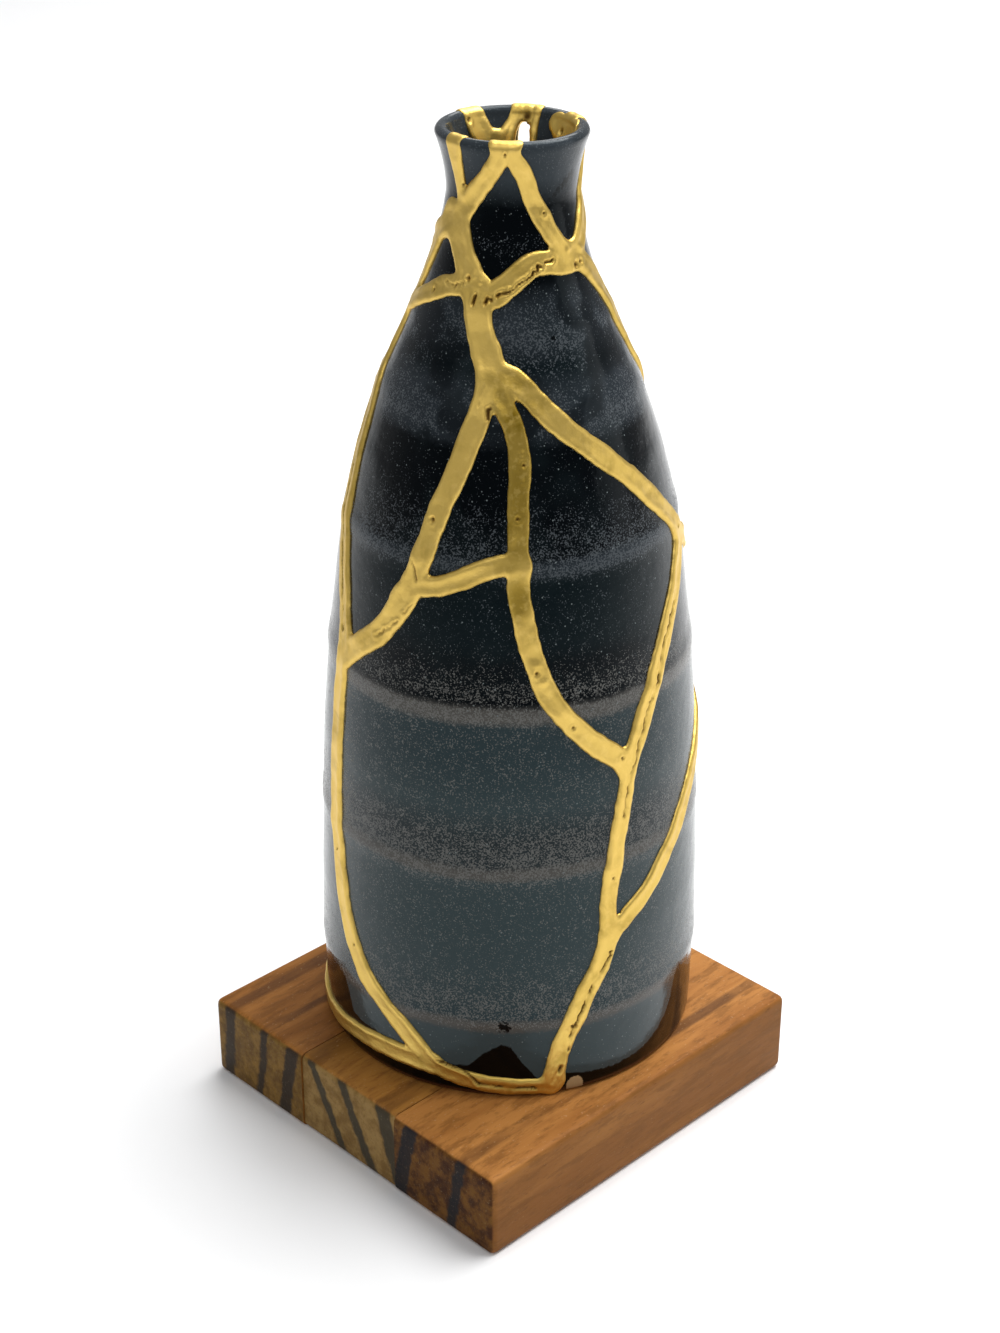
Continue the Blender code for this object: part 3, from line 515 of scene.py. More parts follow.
class Nodes:
    """Short ways to add nodes to one material."""

    def __init__(self, name):
        self.material = bpy.data.materials.new(name)
        self.material.use_nodes = True
        self.tree = self.material.node_tree
        self.shader = self.tree.nodes["Principled BSDF"]

    def add(self, kind, **settings):
        node = self.tree.nodes.new(kind)
        for key, value in settings.items():
            setattr(node, key, value)
        return node

    def link(self, value, socket):
        """Links a socket's value, or sets a plain one."""
        if isinstance(value, bpy.types.NodeSocket):
            self.tree.links.new(value, socket)
        else:
            socket.default_value = value

    def value(self, name):
        """The number that give_values left on the mesh."""
        return self.add("ShaderNodeAttribute", attribute_name=name).outputs["Fac"]

    def shade(self, name, value):
        """Gives the shader a value, linked or plain."""
        self.link(value, self.shader.inputs[name])

    def math(self, operation, a, b=0.0, clamp=False):
        node = self.add("ShaderNodeMath", operation=operation, use_clamp=clamp)
        for socket, given in zip(node.inputs, (a, b)):
            self.link(given, socket)
        return node.outputs[0]

    def times(self, a, b):
        return self.math("MULTIPLY", a, b)

    def plus(self, a, b):
        return self.math("ADD", a, b)

    def less(self, a, b):
        return self.math("SUBTRACT", a, b)

    def place(self, scale=(1.0, 1.0, 1.0)):
        """Object coordinates, in metres, pressed together or drawn out by the scale."""
        coordinates = self.add("ShaderNodeTexCoord").outputs["Object"]
        mapping = self.add("ShaderNodeMapping")
        self.link(coordinates, mapping.inputs["Vector"])
        mapping.inputs["Scale"].default_value = scale
        return mapping.outputs[0]

    def noise(self, scale, detail=2.0, roughness=0.5, vector=None, distortion=0.0):
        node = self.add("ShaderNodeTexNoise")
        self.link(vector or self.place(), node.inputs["Vector"])
        settings = dict(Scale=scale, Detail=detail, Roughness=roughness, Distortion=distortion)
        for key, setting in settings.items():
            node.inputs[key].default_value = setting
        return node.outputs["Fac"]

    def along(self, share):
        """Coordinates that draw a noise out along the boards."""
        return self.place((1.0, share, 1.0))

    def stray(self, reach, *settings):
        """Noise that strays from zero by up to half the reach either way."""
        return self.times(self.less(self.noise(*settings), 0.5), reach)

    def ramp(self, value, stops):
        """A colour, or a grey for a plain number, between stops of place and colour."""
        node = self.add("ShaderNodeValToRGB")
        elements = node.color_ramp.elements
        while len(elements) < len(stops):
            elements.new(1.0)
        for element, (place, colour) in zip(elements, stops):
            element.position = place
            if isinstance(colour, (int, float)):
                colour = (colour, colour, colour)
            element.color = (*colour, 1.0)
        self.link(value, node.inputs[0])
        return node.outputs["Color"]

    def step(self, value, low, high):
        """Rises smoothly from 0 at low to 1 at high."""
        node = self.add("ShaderNodeMapRange", interpolation_type="SMOOTHSTEP")
        self.link(value, node.inputs["Value"])
        for socket, given in zip(list(node.inputs)[1:5], (low, high, 0.0, 1.0)):
            self.link(given, socket)
        return node.outputs["Result"]

    def mix(self, share, first, second):
        """The first colour, with a share of the second over it."""
        node = self.add("ShaderNodeMix", data_type="RGBA")
        self.link(share, node.inputs["Factor"])
        colours = [socket for socket in node.inputs if socket.type == "RGBA"]
        for socket, given in zip(colours, (first, second)):
            if isinstance(given, tuple):
                given = (*given, 1.0)
            self.link(given, socket)
        return [socket for socket in node.outputs if socket.type == "RGBA"][0]

    def layered(self, colour, *layers):
        """The colour under layers, each with where it lies, how strong it is, and its colour."""
        for where, strength, top in layers:
            colour = self.mix(self.times(where, strength), colour, top)
        return colour

    def bump(self, height, distance, strength):
        node = self.add("ShaderNodeBump")
        node.inputs["Strength"].default_value = strength
        node.inputs["Distance"].default_value = distance
        self.link(height, node.inputs["Height"])
        self.shade("Normal", node.outputs[0])


# Glaze colours by height: the ground, and how thick the light speckle lies on it
GLAZE_TOP = 193.0
GREY_FOOT = (0.037, 0.05, 0.053)
GREY = (0.0315, 0.046, 0.049)
GREY_DEEP = (0.022, 0.0345, 0.0385)
BAND_GREY = (0.016, 0.021, 0.023)
NIGHT = (0.0022, 0.0052, 0.0066)
BLACK = (0.0008, 0.0013, 0.002)
DUST = (0.02, 0.025, 0.03)
CLAY_LINE = (0.072, 0.067, 0.06)
LIP_GREY = (0.032, 0.039, 0.045)
GROUND = (
    (0, GREY_FOOT), (16, GREY_FOOT), (16.8, CLAY_LINE), (18.6, CLAY_LINE), (19.6, GREY_DEEP),
    (30, GREY), (52.2, GREY), (52.9, CLAY_LINE), (54.6, CLAY_LINE), (55.8, BAND_GREY),
    (61, BAND_GREY), (68, GREY), (78, GREY_DEEP), (85.4, GREY_DEEP), (86.4, CLAY_LINE),
    (89.0, CLAY_LINE), (90.0, BLACK), (98, BLACK), (102, NIGHT), (115.0, NIGHT), (116.4, DUST),
    (118.0, DUST), (119.2, BLACK), (138.2, BLACK), (140.4, DUST), (148, DUST), (152, NIGHT),
    (157, DUST), (162, DUST), (167, BLACK), (180.6, BLACK), (185.5, LIP_GREY),
)
SPECKLE = (
    (0, 0.02), (16, 0.06), (17.4, 0.5), (22, 0.58), (27, 0.46), (34, 0.3), (50, 0.34),
    (52.6, 0.6), (57, 0.62), (62, 0.54), (67, 0.36), (85, 0.38), (86.5, 0.62),
    (89.0, 0.62), (89.8, 0.3), (91.5, 0.56), (98, 0.26), (114.2, 0.22),
    (115.8, 0.62), (118.0, 0.6), (122, 0.47), (126, 0.36), (131, 0.16),
    (138, 0.16), (142, 0.6), (150, 0.3), (157, 0.58), (163, 0.4), (168, 0.08),
    (174, 0.36), (177, 0.06), (190, 0.3),
)

# The glaze's other colours
FOG = (0.0055, 0.0095, 0.011)
WARM_DUST = (0.135, 0.133, 0.124)
COOL_DUST = (0.072, 0.082, 0.09)
STARLIGHT = (0.18, 0.21, 0.21)
TENMOKU = (0.0014, 0.0013, 0.0013)
TENMOKU_THIN = (0.024, 0.0065, 0.0008)
TENMOKU_EDGE = (0.085, 0.028, 0.012)
MARK = (0.0015, 0.002, 0.0025)
BARE = (0.36, 0.24, 0.12)
UNGLAZED = (0.2, 0.115, 0.062)

# Larger crystals in the glaze: their pattern's scale, their size in it, and how light they are
STARS = ((560.0, 0.11, 0.75), (1000.0, 0.13, 0.5))


def glaze_ground(n, height, level):
    """The glaze's bands by height, with fog above the middle and dark gaps round the neck."""
    ground = n.ramp(level, [(z / GLAZE_TOP, colour) for z, colour in GROUND])
    fog = n.times(n.step(n.noise(70.0, 2.0), 0.46, 0.66), n.step(height, 86.0, 98.0))
    ground = n.mix(n.times(fog, 0.45), ground, FOG)
    gaps = n.times(n.step(n.noise(95.0, 3.0), 0.5, 0.38), n.step(height, 136.0, 141.0))
    gaps = n.times(gaps, n.step(height, 182.0, 179.0))
    return n.mix(n.times(gaps, 0.6), ground, BLACK), gaps


def sprinkled(n, height, level, grains):
    """The ground with its fine crystals and larger stars, and where the crystals are."""
    ground, gaps = glaze_ground(n, height, level)
    crowd = n.ramp(level, [(z / GLAZE_TOP, share) for z, share in SPECKLE])
    clusters = n.noise(560.0, 4.0, 0.7)
    crowd = n.times(crowd, n.less(1.0, n.times(gaps, 0.6)))
    line = n.less(0.93, n.plus(n.times(crowd, 0.4), n.times(clusters, 0.4)))
    dust = n.step(grains, line, n.plus(line, 0.05))
    light = n.mix(n.step(height, 96.0, 104.0), WARM_DUST, COOL_DUST)
    colour = n.mix(n.times(dust, 0.75), ground, light)
    for scale, size, strength in STARS:
        dots = n.add("ShaderNodeTexVoronoi")
        n.link(n.place(), dots.inputs["Vector"])
        dots.inputs["Scale"].default_value = scale
        star = n.step(dots.outputs["Distance"], size, size * 0.45)
        star = n.times(star, n.step(height, 184.0, 178.0))
        colour = n.mix(n.times(star, strength), colour, STARLIGHT)
    return colour, dust


def brown_foot(n, height, colour):
    """The colour with the brown glaze under its edge, thin and red where it runs out."""
    brown = n.step(n.plus(n.value("brown_edge"), n.stray(1.2, 700.0, 2.0)), -0.25, 0.25)
    thin = n.times(n.value("thin_glaze"), n.step(n.noise(60.0, 2.0), 0.4, 0.68))
    tenmoku = n.mix(thin, TENMOKU, TENMOKU_THIN)
    tenmoku = n.mix(n.step(height, 1.6, 0.4), tenmoku, TENMOKU_EDGE)
    return n.mix(brown, colour, tenmoku)


def glaze_material():
    """Glossy blue-black glaze, greyer below, with bands of fine crystals and a brown foot."""
    n = Nodes("glaze")
    height = n.value("height")
    wandering = n.plus(n.stray(2.6, 45.0, 4.0), n.stray(1.5, 1300.0, 2.0, 0.6))
    level = n.math("DIVIDE", n.plus(height, wandering), GLAZE_TOP, clamp=True)
    grains = n.noise(2900.0, 2.0, 0.6)
    colour, dust = sprinkled(n, height, level, grains)
    colour = brown_foot(n, height, colour)
    for turn, travel, size in DARK_MARKS:
        off = n.add("ShaderNodeVectorMath", operation="DISTANCE")
        n.link(n.place(), off.inputs[0])
        off.inputs[1].default_value = in_space(*skin(float(travel)), turn) * MM
        away = n.plus(off.outputs["Value"], n.stray(size * 0.0045, 1500.0, 2.0))
        colour = n.mix(n.step(away, size * 0.00115, size * 0.0008), colour, MARK)
    bare = n.step(n.plus(n.value("bare_clay"), n.times(grains, 0.6)), 0.45, 0.15)
    raw = n.step(height, -1.0, -4.0)
    colour = n.mix(raw, n.mix(bare, colour, BARE), UNGLAZED)
    n.shade("Base Color", colour)

    rough = n.plus(0.14, n.times(dust, 0.22))
    rough = n.math("MAXIMUM", rough, n.times(n.math("MAXIMUM", raw, bare), 0.8))
    n.shade("Roughness", rough)
    n.shade("IOR", 1.5)
    n.shade("Specular Tint", (0.09, 0.12, 0.13, 1.0))
    n.bump(n.plus(n.noise(240.0, 3.0), n.times(dust, 0.06)), 0.00018, 0.7)
    return n.material


GOLD = (0.735, 0.512, 0.13)
GOLD_DARK_BROWN = (0.2, 0.125, 0.004)
GOLD_STREAK = (0.83, 0.6, 0.185)
GOLD_CRACK = (0.07, 0.028, 0.006)


def gold_material():
    """Gold powder on lacquer: satin, streaked and patchy, darker brown in places and where it is
    cracked.
    """
    n = Nodes("gold_lacquer")
    patches = n.noise(150.0, 3.0, 0.55, distortion=0.6)
    streaks = n.noise(700.0, 2.0, 0.6)
    darkened = n.times(n.value("dark_tone"), 0.8)
    tone = n.math("ADD", darkened, n.times(n.step(patches, 0.5, 0.74), 0.3), clamp=True)
    gold = n.layered(n.mix(tone, GOLD, GOLD_DARK_BROWN),
                     (n.step(streaks, 0.5, 0.7), 0.25, GOLD_STREAK),
                     (n.value("crack"), 0.92, GOLD_CRACK))
    n.shade("Base Color", gold)
    n.shade("Metallic", 1.0)
    rough = n.plus(0.35, n.times(patches, 0.18))
    n.shade("Roughness", n.plus(rough, n.times(n.value("crack"), 0.3)))
    n.bump(n.plus(n.noise(420.0, 3.0, 0.55), n.times(n.noise(2600.0, 2.0), 0.1)), 0.00022, 0.55)
    return n.material


# ---- the vase's gold

# How high the gold stands on its edge, how much more in the middle, and how far in that is
GOLD_EDGE = 0.12
GOLD_RISE = 0.58
GOLD_SHOULDER = 0.95
# How deep its edges are turned into the glaze, and inside the hole
SKIRT = 0.35
HOLE_SKIRT = 1.6


def gold_sheet():
    """The grid that the gold is cut from, finer on the front than behind."""
    turns = [steps(-84.0, 84.0, 0.43), steps(84.0, 276.0, 0.75)[1:-1]]
    travels = [steps(0.25, LIP_HEIGHT, 0.34),
               steps(LIP_HEIGHT, LIP_HEIGHT + LIP_ARC, 0.29)[1:],
               steps(LIP_HEIGHT + LIP_ARC, inside(168), 0.36)[1:]]
    return Sheet(np.concatenate(turns), np.concatenate(travels))


def gold_fields(sheet):
    """How far outside the gold each grid point lies, and how dark the gold is there."""
    field = sheet.blank(FAR)
    dark = sheet.blank(0)
    nearest = sheet.blank(FAR)
    for start, end, between, half, tone in SEAMS:
        line = seam_line(start, end, between)
        ends = half if isinstance(half, tuple) else (half, half)
        strip = sheet.distance(line, np.linspace(*ends, len(line)), max(ends) + 3.0)
        field = blended(field, strip, 0.9)
        dark = np.where(strip < nearest, tone, dark)
        nearest = np.minimum(nearest, strip)
    for points, start, end in MOUTH_GOLD + ((FILLED_CRACK, 1.5, 1.9),):
        line = smooth_line(points, 0.5)
        halves = np.linspace(start, end, len(line))
        field = blended(field, sheet.distance(line, halves, max(start, end) + 3.0), 0.6)
    for turn, travel, wide, tall in POOLS:
        field = blended(field, sheet.oval(turn, travel, wide, tall), 1.2)
    dark = blur(dark, 14)
    for turn, travel, wide, tall, depth in DARK_GOLD_PATCHES:
        away = 1 + sheet.oval(turn, travel, wide, tall, 16.0) / min(wide, tall)
        dark = np.maximum(dark, depth * np.exp(-np.minimum(away, 9) ** 4))
    return field, dark


def blur(values, times):
    """The values, evened out with their neighbours so many times."""
    for _ in range(times):
        values = (values + np.roll(values, 1, 1) + np.roll(values, -1, 1)) / 3
        values[1:-1] = (values[:-2] + values[1:-1] + values[2:]) / 3
    return values


def edge_moves(sheet, field, used):
    """Turns and travels of the grid once points just outside the gold have moved to its edge."""
    radius = skin(sheet.travels)[0]
    gap = np.radians((np.roll(sheet.turns, -1) - np.roll(sheet.turns, 1)) % 360)
    slope_x = (np.roll(field, -1, 1) - np.roll(field, 1, 1)) / (gap[None, :] * radius[:, None])
    slope_y = np.gradient(field, sheet.travels, axis=0)
    steep = np.maximum(slope_x ** 2 + slope_y ** 2, 0.25)
    move = np.where(used, np.clip(field, 0, 0.8), 0.0) / steep
    turns = sheet.turns[None, :] - np.degrees(move * slope_x / radius[:, None])
    return turns, sheet.travels[:, None] - move * slope_y


def gold_relief(sheet, field, used, base):
    """How high the gold stands off the glaze, and how cracked and brown it is."""
    rise = np.clip(-field / GOLD_SHOULDER, 0, 1)
    stand = GOLD_EDGE + GOLD_RISE * np.sqrt(1 - (1 - rise) ** 2)
    dip = np.clip((-field - 0.8) / 1.2, 0, 1)
    stand -= 0.12 * dip * dip * (3 - 2 * dip)
    broken = np.zeros_like(field)
    broken[used] = np.clip(0.75 + 1.6 * wobble(base[used], 2.3, 6), 0.12, 1)
    groove = np.zeros_like(field)
    crack = np.zeros_like(field)
    for points, wide, depth, lips in CRACKS:
        line = smooth_line(points, 0.5)
        jag = np.random.default_rng(len(line)).normal(0, 0.16, len(line))
        line = line + np.stack([jag * 1.2, -jag], -1)
        off = sheet.distance(line, 0.0, 3.0)
        deep = bell(off, wide) * (1 if depth > 0.55 else broken)
        groove += lips * bell(off - 2.1 * wide, 1.1 * wide) - depth * deep
        crack = np.maximum(crack, np.clip(deep * 2.0 - 0.5, 0, 1) * min(1.0, depth / 0.3))
    for turn, travel, size, depth in PITS:
        off = sheet.oval(turn, travel, size, size, 4.0) + size
        deep = bell(off, size)
        groove -= depth * deep
        if depth > 0:
            groove += 0.12 * bell(off - 1.9 * size, 0.8 * size)
            crack = np.maximum(crack, np.clip(deep * 1.6 - 0.4, 0, 1))
    dale = np.zeros_like(field)
    dale[used] = 0.15 * wobble(base[used], 4.2, 3) + 0.06 * wobble(base[used], 1.6, 4)
    # The gold is thinner and smoother over the lip
    from_lip = np.clip((np.abs(sheet.travels - RIM)[:, None] - 2.0) / 3.0, 0, 1)
    stand = stand * (0.38 + 0.62 * from_lip)
    stand = stand + np.clip(-field / 1.2, 0, 1) * (dale * (0.4 + 0.6 * from_lip) + groove)
    return np.clip(stand, 0.03, 0.95), crack


def make_gold():
    """The raised gold over all the joints, as one skin with its edges turned down."""
    sheet = gold_sheet()
    field, dark = gold_fields(sheet)
    base = sheet.spread(*skin(sheet.travels))
    near = field < 2.2
    field[near] += 0.3 * wobble(base[near], 5.5, 1) + 0.16 * wobble(base[near], 1.9, 2)
    turn, travel, wide, tall = HOLE
    hole = np.minimum(sheet.oval(turn, travel, wide, tall),
                      sheet.oval(turn, inside(travel), wide, tall))
    field = np.maximum(field, -hole)
    within = field < 0
    cells = within | np.roll(within, -1, 1)
    used, quads, edges = cell_faces(cells[:-1] | cells[1:])

    turns, travels = edge_moves(sheet, field, used)
    stand, crack = gold_relief(sheet, field, used, base)
    radius, height, out, up = skin_frame(travels)
    surface = in_space(radius + out * stand, height + up * stand, turns)
    sunk = np.where(hole < 1.0, HOLE_SKIRT, SKIRT)
    skirt = in_space(radius - out * sunk, height - up * sunk, turns)
    rim = sorted({index for edge in edges for index in edge})
    total = int(used.sum())
    lower = {index: total + place for place, index in enumerate(rim)}
    faces = quads.tolist()
    faces += [(second, first, lower[first], lower[second]) for first, second in edges]
    gold = mesh_object("gold_seam_relief", np.vstack([surface[used], skirt[used][rim]]), faces)
    both = np.concatenate([np.arange(total), rim])
    give_values(gold, "crack", crack[used][both])
    give_values(gold, "dark_tone", dark[used][both])
    gold.data.materials.append(gold_material())
    return gold


# ---- the vase's shards

# The foot's rounded edge, and its ring's width and height
FOOT_EDGE = 0.8
RING = 7.5
RING_HEIGHT = 1.2
# The rounding between the floor and the wall inside: how high, and how far along each
HOLLOW = 1.6
ALONG_FLOOR = 5
UP_WALL = 6
# How near the joints the filling stops, at the foot and above it
BARRIERS = (1.05, 0.75)
# A glaze value that changes nothing
NOWHERE = 9.0


def shard_sheet():
    """The grid that the shards are cut from."""
    travels = np.concatenate([[-FOOT_RADIUS], steps(-FOOT_RADIUS + 1.5, -0.9, 1.5), [-FOOT_EDGE],
                              steps(0.0, FOOT_EDGE, 0.4), steps(1.6, LIP_HEIGHT, 0.95),
                              steps(LIP_HEIGHT, RIM, 0.4)[1:]])
    return Sheet(steps(-180, 180, 1.0)[:-1], travels)


def shard_sides(travels):
    """Radius and height of the outer and the inner side at each travel of the shards' grid."""
    radius, height = skin(np.clip(travels, 0, RIM))
    under = travels < 0
    radius = np.where(under, np.clip(FOOT_RADIUS + travels, 0, FOOT_RADIUS - FOOT_EDGE), radius)
    height = np.where(under, np.clip((-travels - RING) / RING_HEIGHT, 0, 1) * RING_HEIGHT, height)
    radius = radius - np.where(~under & (travels < FOOT_EDGE),
                               FOOT_EDGE * (1 - travels / FOOT_EDGE) ** 2, 0)
    rise = np.where(travels < CORNER, FLOOR_LEVEL + (CORNER - FLOOR_LEVEL) * travels / CORNER,
                    travels)
    inner_r, inner_h = skin(inside(np.clip(rise, FLOOR_LEVEL, LIP_HEIGHT)))
    foot_inner = float(inner_radius(np.float64(FLOOR_LEVEL)))
    inner_r = np.where(under, foot_inner * (1 - np.clip(-travels / FOOT_RADIUS, 0, 1)), inner_r)
    inner_h = np.where(under, FLOOR_LEVEL, inner_h)
    inner_h = inner_h + HOLLOW * np.where(
        under, np.clip((inner_r - foot_inner + ALONG_FLOOR) / ALONG_FLOOR, 0, 1) ** 2,
        np.clip(1 - (inner_h - FLOOR_LEVEL) / UP_WALL, 0, 1))
    lip = travels > LIP_HEIGHT
    turn = (travels - LIP_HEIGHT) / LIP_ARC * math.pi
    inner_r = np.where(lip, LIP_RING - LIP_TUBE * np.cos(turn), inner_r)
    inner_h = np.where(lip, LIP_HEIGHT + LIP_TUBE * np.sin(turn), inner_h)
    return (radius, height), (inner_r, inner_h)


def shard_labels(sheet):
    """Which shard each cell of the grid belongs to, found by filling between the joints."""
    rows, columns = len(sheet.travels) - 1, len(sheet.turns)
    turns = sheet.turns + 0.5
    travels = (sheet.travels[1:] + sheet.travels[:-1]) / 2
    cells = Sheet(turns, travels)
    joint = cells.distance(smooth_line(FOOT_JOINT), 0.0, 5.0)
    lines = [seam_line(start, end, between) for start, end, between, _, _ in SEAMS]
    for line in lines + [smooth_line(points) for points in RIM_JOINTS]:
        joint = np.minimum(joint, cells.distance(line, 0.0, 4.0))
    label = np.where(joint < np.where(travels < FOOT_EDGE, *BARRIERS)[:, None], -1, 0)
    for index, (turn, travel, _) in enumerate(SHARDS.values(), 1):
        row = int(np.argmin(np.abs(travels - travel)))
        column = int(np.argmin(np.abs((turns - turn + 180) % 360 - 180)))
        front = [(row, column)]
        while front:
            row, column = front.pop()
            if not 0 <= row < rows or label[row, column % columns] != 0:
                continue
            column %= columns
            label[row, column] = index
            front += [(row + 1, column), (row - 1, column), (row, column + 1), (row, column - 1)]
    label[label < 0] = 0
    while (label == 0).any():
        for shifted in (np.roll(label, 1, 1), np.roll(label, -1, 1),
                        np.vstack([label[:1], label[:-1]]), np.vstack([label[1:], label[-1:]])):
            label = np.where(label == 0, shifted, label)
    turn, travel, wide, tall = HOLE
    label[cells.oval(turn, travel, wide + 0.55, tall + 0.5) < 0] = 0
    return label


def shard_values(sheet, out_h, in_h):
    """What the glaze reads at each grid point: its values on the outer and the inner side."""
    sharp = np.interp(sheet.turns, *zip(*BROWN_EDGE))
    soft = sharp
    for _ in range(60):
        soft = (soft + np.roll(soft, 1) + np.roll(soft, -1)) / 3
    # The edge is plainer on the hidden side
    hidden = np.clip((np.abs(sheet.turns) - 66) / 12, 0, 1)
    brown = (sharp + (soft - sharp) * hidden)[None, :] - out_h[:, None]
    thin = np.clip((np.abs((sheet.turns + 180) % 360 - 180) - 38) / 20, 0, 1)
    bare = np.minimum(sheet.oval(*BARE_CLAY), NOWHERE)
    flat = sheet.blank(0)
    return {"height": (np.where(sheet.travels < -FOOT_EDGE, -9.0, out_h)[:, None] + flat,
                       np.where(in_h > 176, in_h, 150.0)[:, None] + flat),
            "brown_edge": (brown, flat - NOWHERE),
            "thin_glaze": (thin[None, :] + flat, flat),
            "bare_clay": (bare, flat + NOWHERE)}


def make_shards():
    """The shards, each a closed piece of the glazed wall."""
    sheet = shard_sheet()
    label = shard_labels(sheet)
    sides = shard_sides(sheet.travels)
    outer, inner = [sheet.spread(*side) for side in sides]
    values = shard_values(sheet, sides[0][1], sides[1][1])
    material = glaze_material()
    for index, name in enumerate(SHARDS, 1):
        used, quads, edges = cell_faces(label == index)
        total = int(used.sum())
        faces = quads.tolist() + (quads[:, ::-1] + total).tolist()
        faces += [(second, first, first + total, second + total) for first, second in sorted(edges)]
        points = np.vstack([outer[used], inner[used]])
        shard = mesh_object(name.replace("shard_", "glazed_"), points, faces)
        for key, (outside, within) in values.items():
            give_values(shard, key, np.concatenate([outside[used], within[used]]))
        shard.data.materials.append(material)
        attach(shard, "root")
        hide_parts(name)


# ---- the stand

STAND_WIDTH = 87.0
STAND_LENGTH = 90.3
STAND_HEIGHT = 19.0
BOARD = STAND_WIDTH / 3
EASED = 1.5
# Half of the gap between two boards
GLUE_GAP = 0.09

# Each board: its dark growth bands across the end as (place at the top, place at the foot, half
# width) from the stand's middle, how far its end stands back, and the colours of its long grain,
# end grain and bands
BOARDS = (
    ("left", ((-38.0, -40.2, 1.5), (-26.6, -29.7, 1.1), (-17.6, -21.2, 1.8)), 0.0,
     ((0.395, 0.162, 0.036), (0.235, 0.088, 0.016)),
     ((0.215, 0.115, 0.022), (0.11, 0.054, 0.007)), (0.022, 0.015, 0.01)),
    ("middle", ((-12.2, -1.2, 1.3), (-2.6, 8.2, 1.5), (10.5, 17.0, 2.2)), 0.35,
     ((0.37, 0.165, 0.034), (0.21, 0.09, 0.014)),
     ((0.28, 0.17, 0.054), (0.17, 0.093, 0.022)), (0.034, 0.029, 0.018)),
    ("right", ((19.8, 16.0, 2.0), (34.6, 31.7, 1.4)), 0.1,
     ((0.425, 0.18, 0.044), (0.275, 0.104, 0.022)),
     ((0.15, 0.062, 0.009), (0.04, 0.011, 0.0015)), (0.009, 0.01, 0.013)),
)

# The wood's other colours
MOTTLE = (0.165, 0.064, 0.013)
GRAIN = (0.16, 0.055, 0.012)
STREAK = (0.085, 0.032, 0.01)
LONG_FLECK = (0.52, 0.33, 0.17)
END_FLECK = (0.4, 0.3, 0.18)
# Painted shade laid over the faces that point across the boards
SIDE_PAINTED_SHADE = (0.15, 0.062, 0.012)
PORE = (0.045, 0.018, 0.006)


def growth_bands(n, bands):
    """Where the dark growth layers run through the board, swaying a little."""
    separate = n.add("ShaderNodeSeparateXYZ")
    n.link(n.place(), separate.inputs[0])
    across, up = n.times(separate.outputs[0], 1000.0), n.times(separate.outputs[2], 1000.0)
    sway = n.stray(3.0, 38.0, 2.0, 0.5, n.along(0.3))
    fray = n.stray(2.2, 420.0, 4.0, 0.6, n.along(0.06))
    place = n.plus(across, n.plus(sway, fray))
    down = n.less(1.0, n.math("DIVIDE", up, STAND_HEIGHT))
    dark = None
    for top, foot, half in bands:
        middle = n.plus(top, n.times(down, foot - top))
        off = n.math("ABSOLUTE", n.less(place, middle))
        band = n.step(off, half + 0.55, half - 0.45)
        dark = band if dark is None else n.math("MAXIMUM", dark, band)
    return dark


def wood_material(name, bands, long_colours, end_colours, band_colour):
    """Oiled brown wood: dark growth layers that run through the board, fine long grain, and painted
    shade on the faces that point across the boards.
    """
    n = Nodes("wood_" + name)
    dark = growth_bands(n, bands)
    normal = n.add("ShaderNodeSeparateXYZ")
    n.link(n.add("ShaderNodeNewGeometry").outputs["Normal"], normal.inputs[0])
    side, end = [n.step(n.math("ABSOLUTE", part), 0.55, 0.85) for part in normal.outputs[:2]]

    grain = n.noise(420.0, 4.0, 0.62, n.along(0.06))
    pores = n.noise(2000.0, 3.0, 0.65, n.along(0.16))
    layers = n.noise(75.0, 4.0, 0.6, n.along(0.16))
    mottle = n.noise(520.0, 4.0, 0.68, n.along(0.22))
    patchy = n.step(n.noise(60.0, 3.0, 0.6, n.along(0.3)), 0.38, 0.62)
    flecks = n.step(n.noise(2600.0, 1.0, 0.5, n.along(0.5)), 0.68, 0.76)
    # The last long-grain layer is painted shade on the faces that point across the boards (side)
    long_grain = n.layered(
        n.mix(n.step(layers, 0.38, 0.62), *long_colours),
        (n.step(mottle, 0.46, 0.64), 0.58, MOTTLE), (n.step(grain, 0.5, 0.72), 0.4, GRAIN),
        (n.times(dark, patchy), 0.75, STREAK), (flecks, 0.3, LONG_FLECK), (side, 0.5, SIDE_PAINTED_SHADE))
    end_grain = n.layered(n.mix(n.step(n.noise(300.0, 5.0, 0.66), 0.36, 0.64), *end_colours),
                          (dark, 0.92, band_colour), (flecks, 0.22, END_FLECK))
    pitted = n.step(pores, 0.58, 0.72)
    colour = n.layered(n.mix(end, long_grain, end_grain), (pitted, 0.4, PORE))
    n.shade("Base Color", colour)
    n.shade("Roughness", n.plus(0.44, n.times(grain, 0.22)))
    n.shade("Specular IOR Level", 0.12)
    n.bump(n.plus(n.times(pores, -0.6), mottle), 0.00014, 0.7)
    return n.material


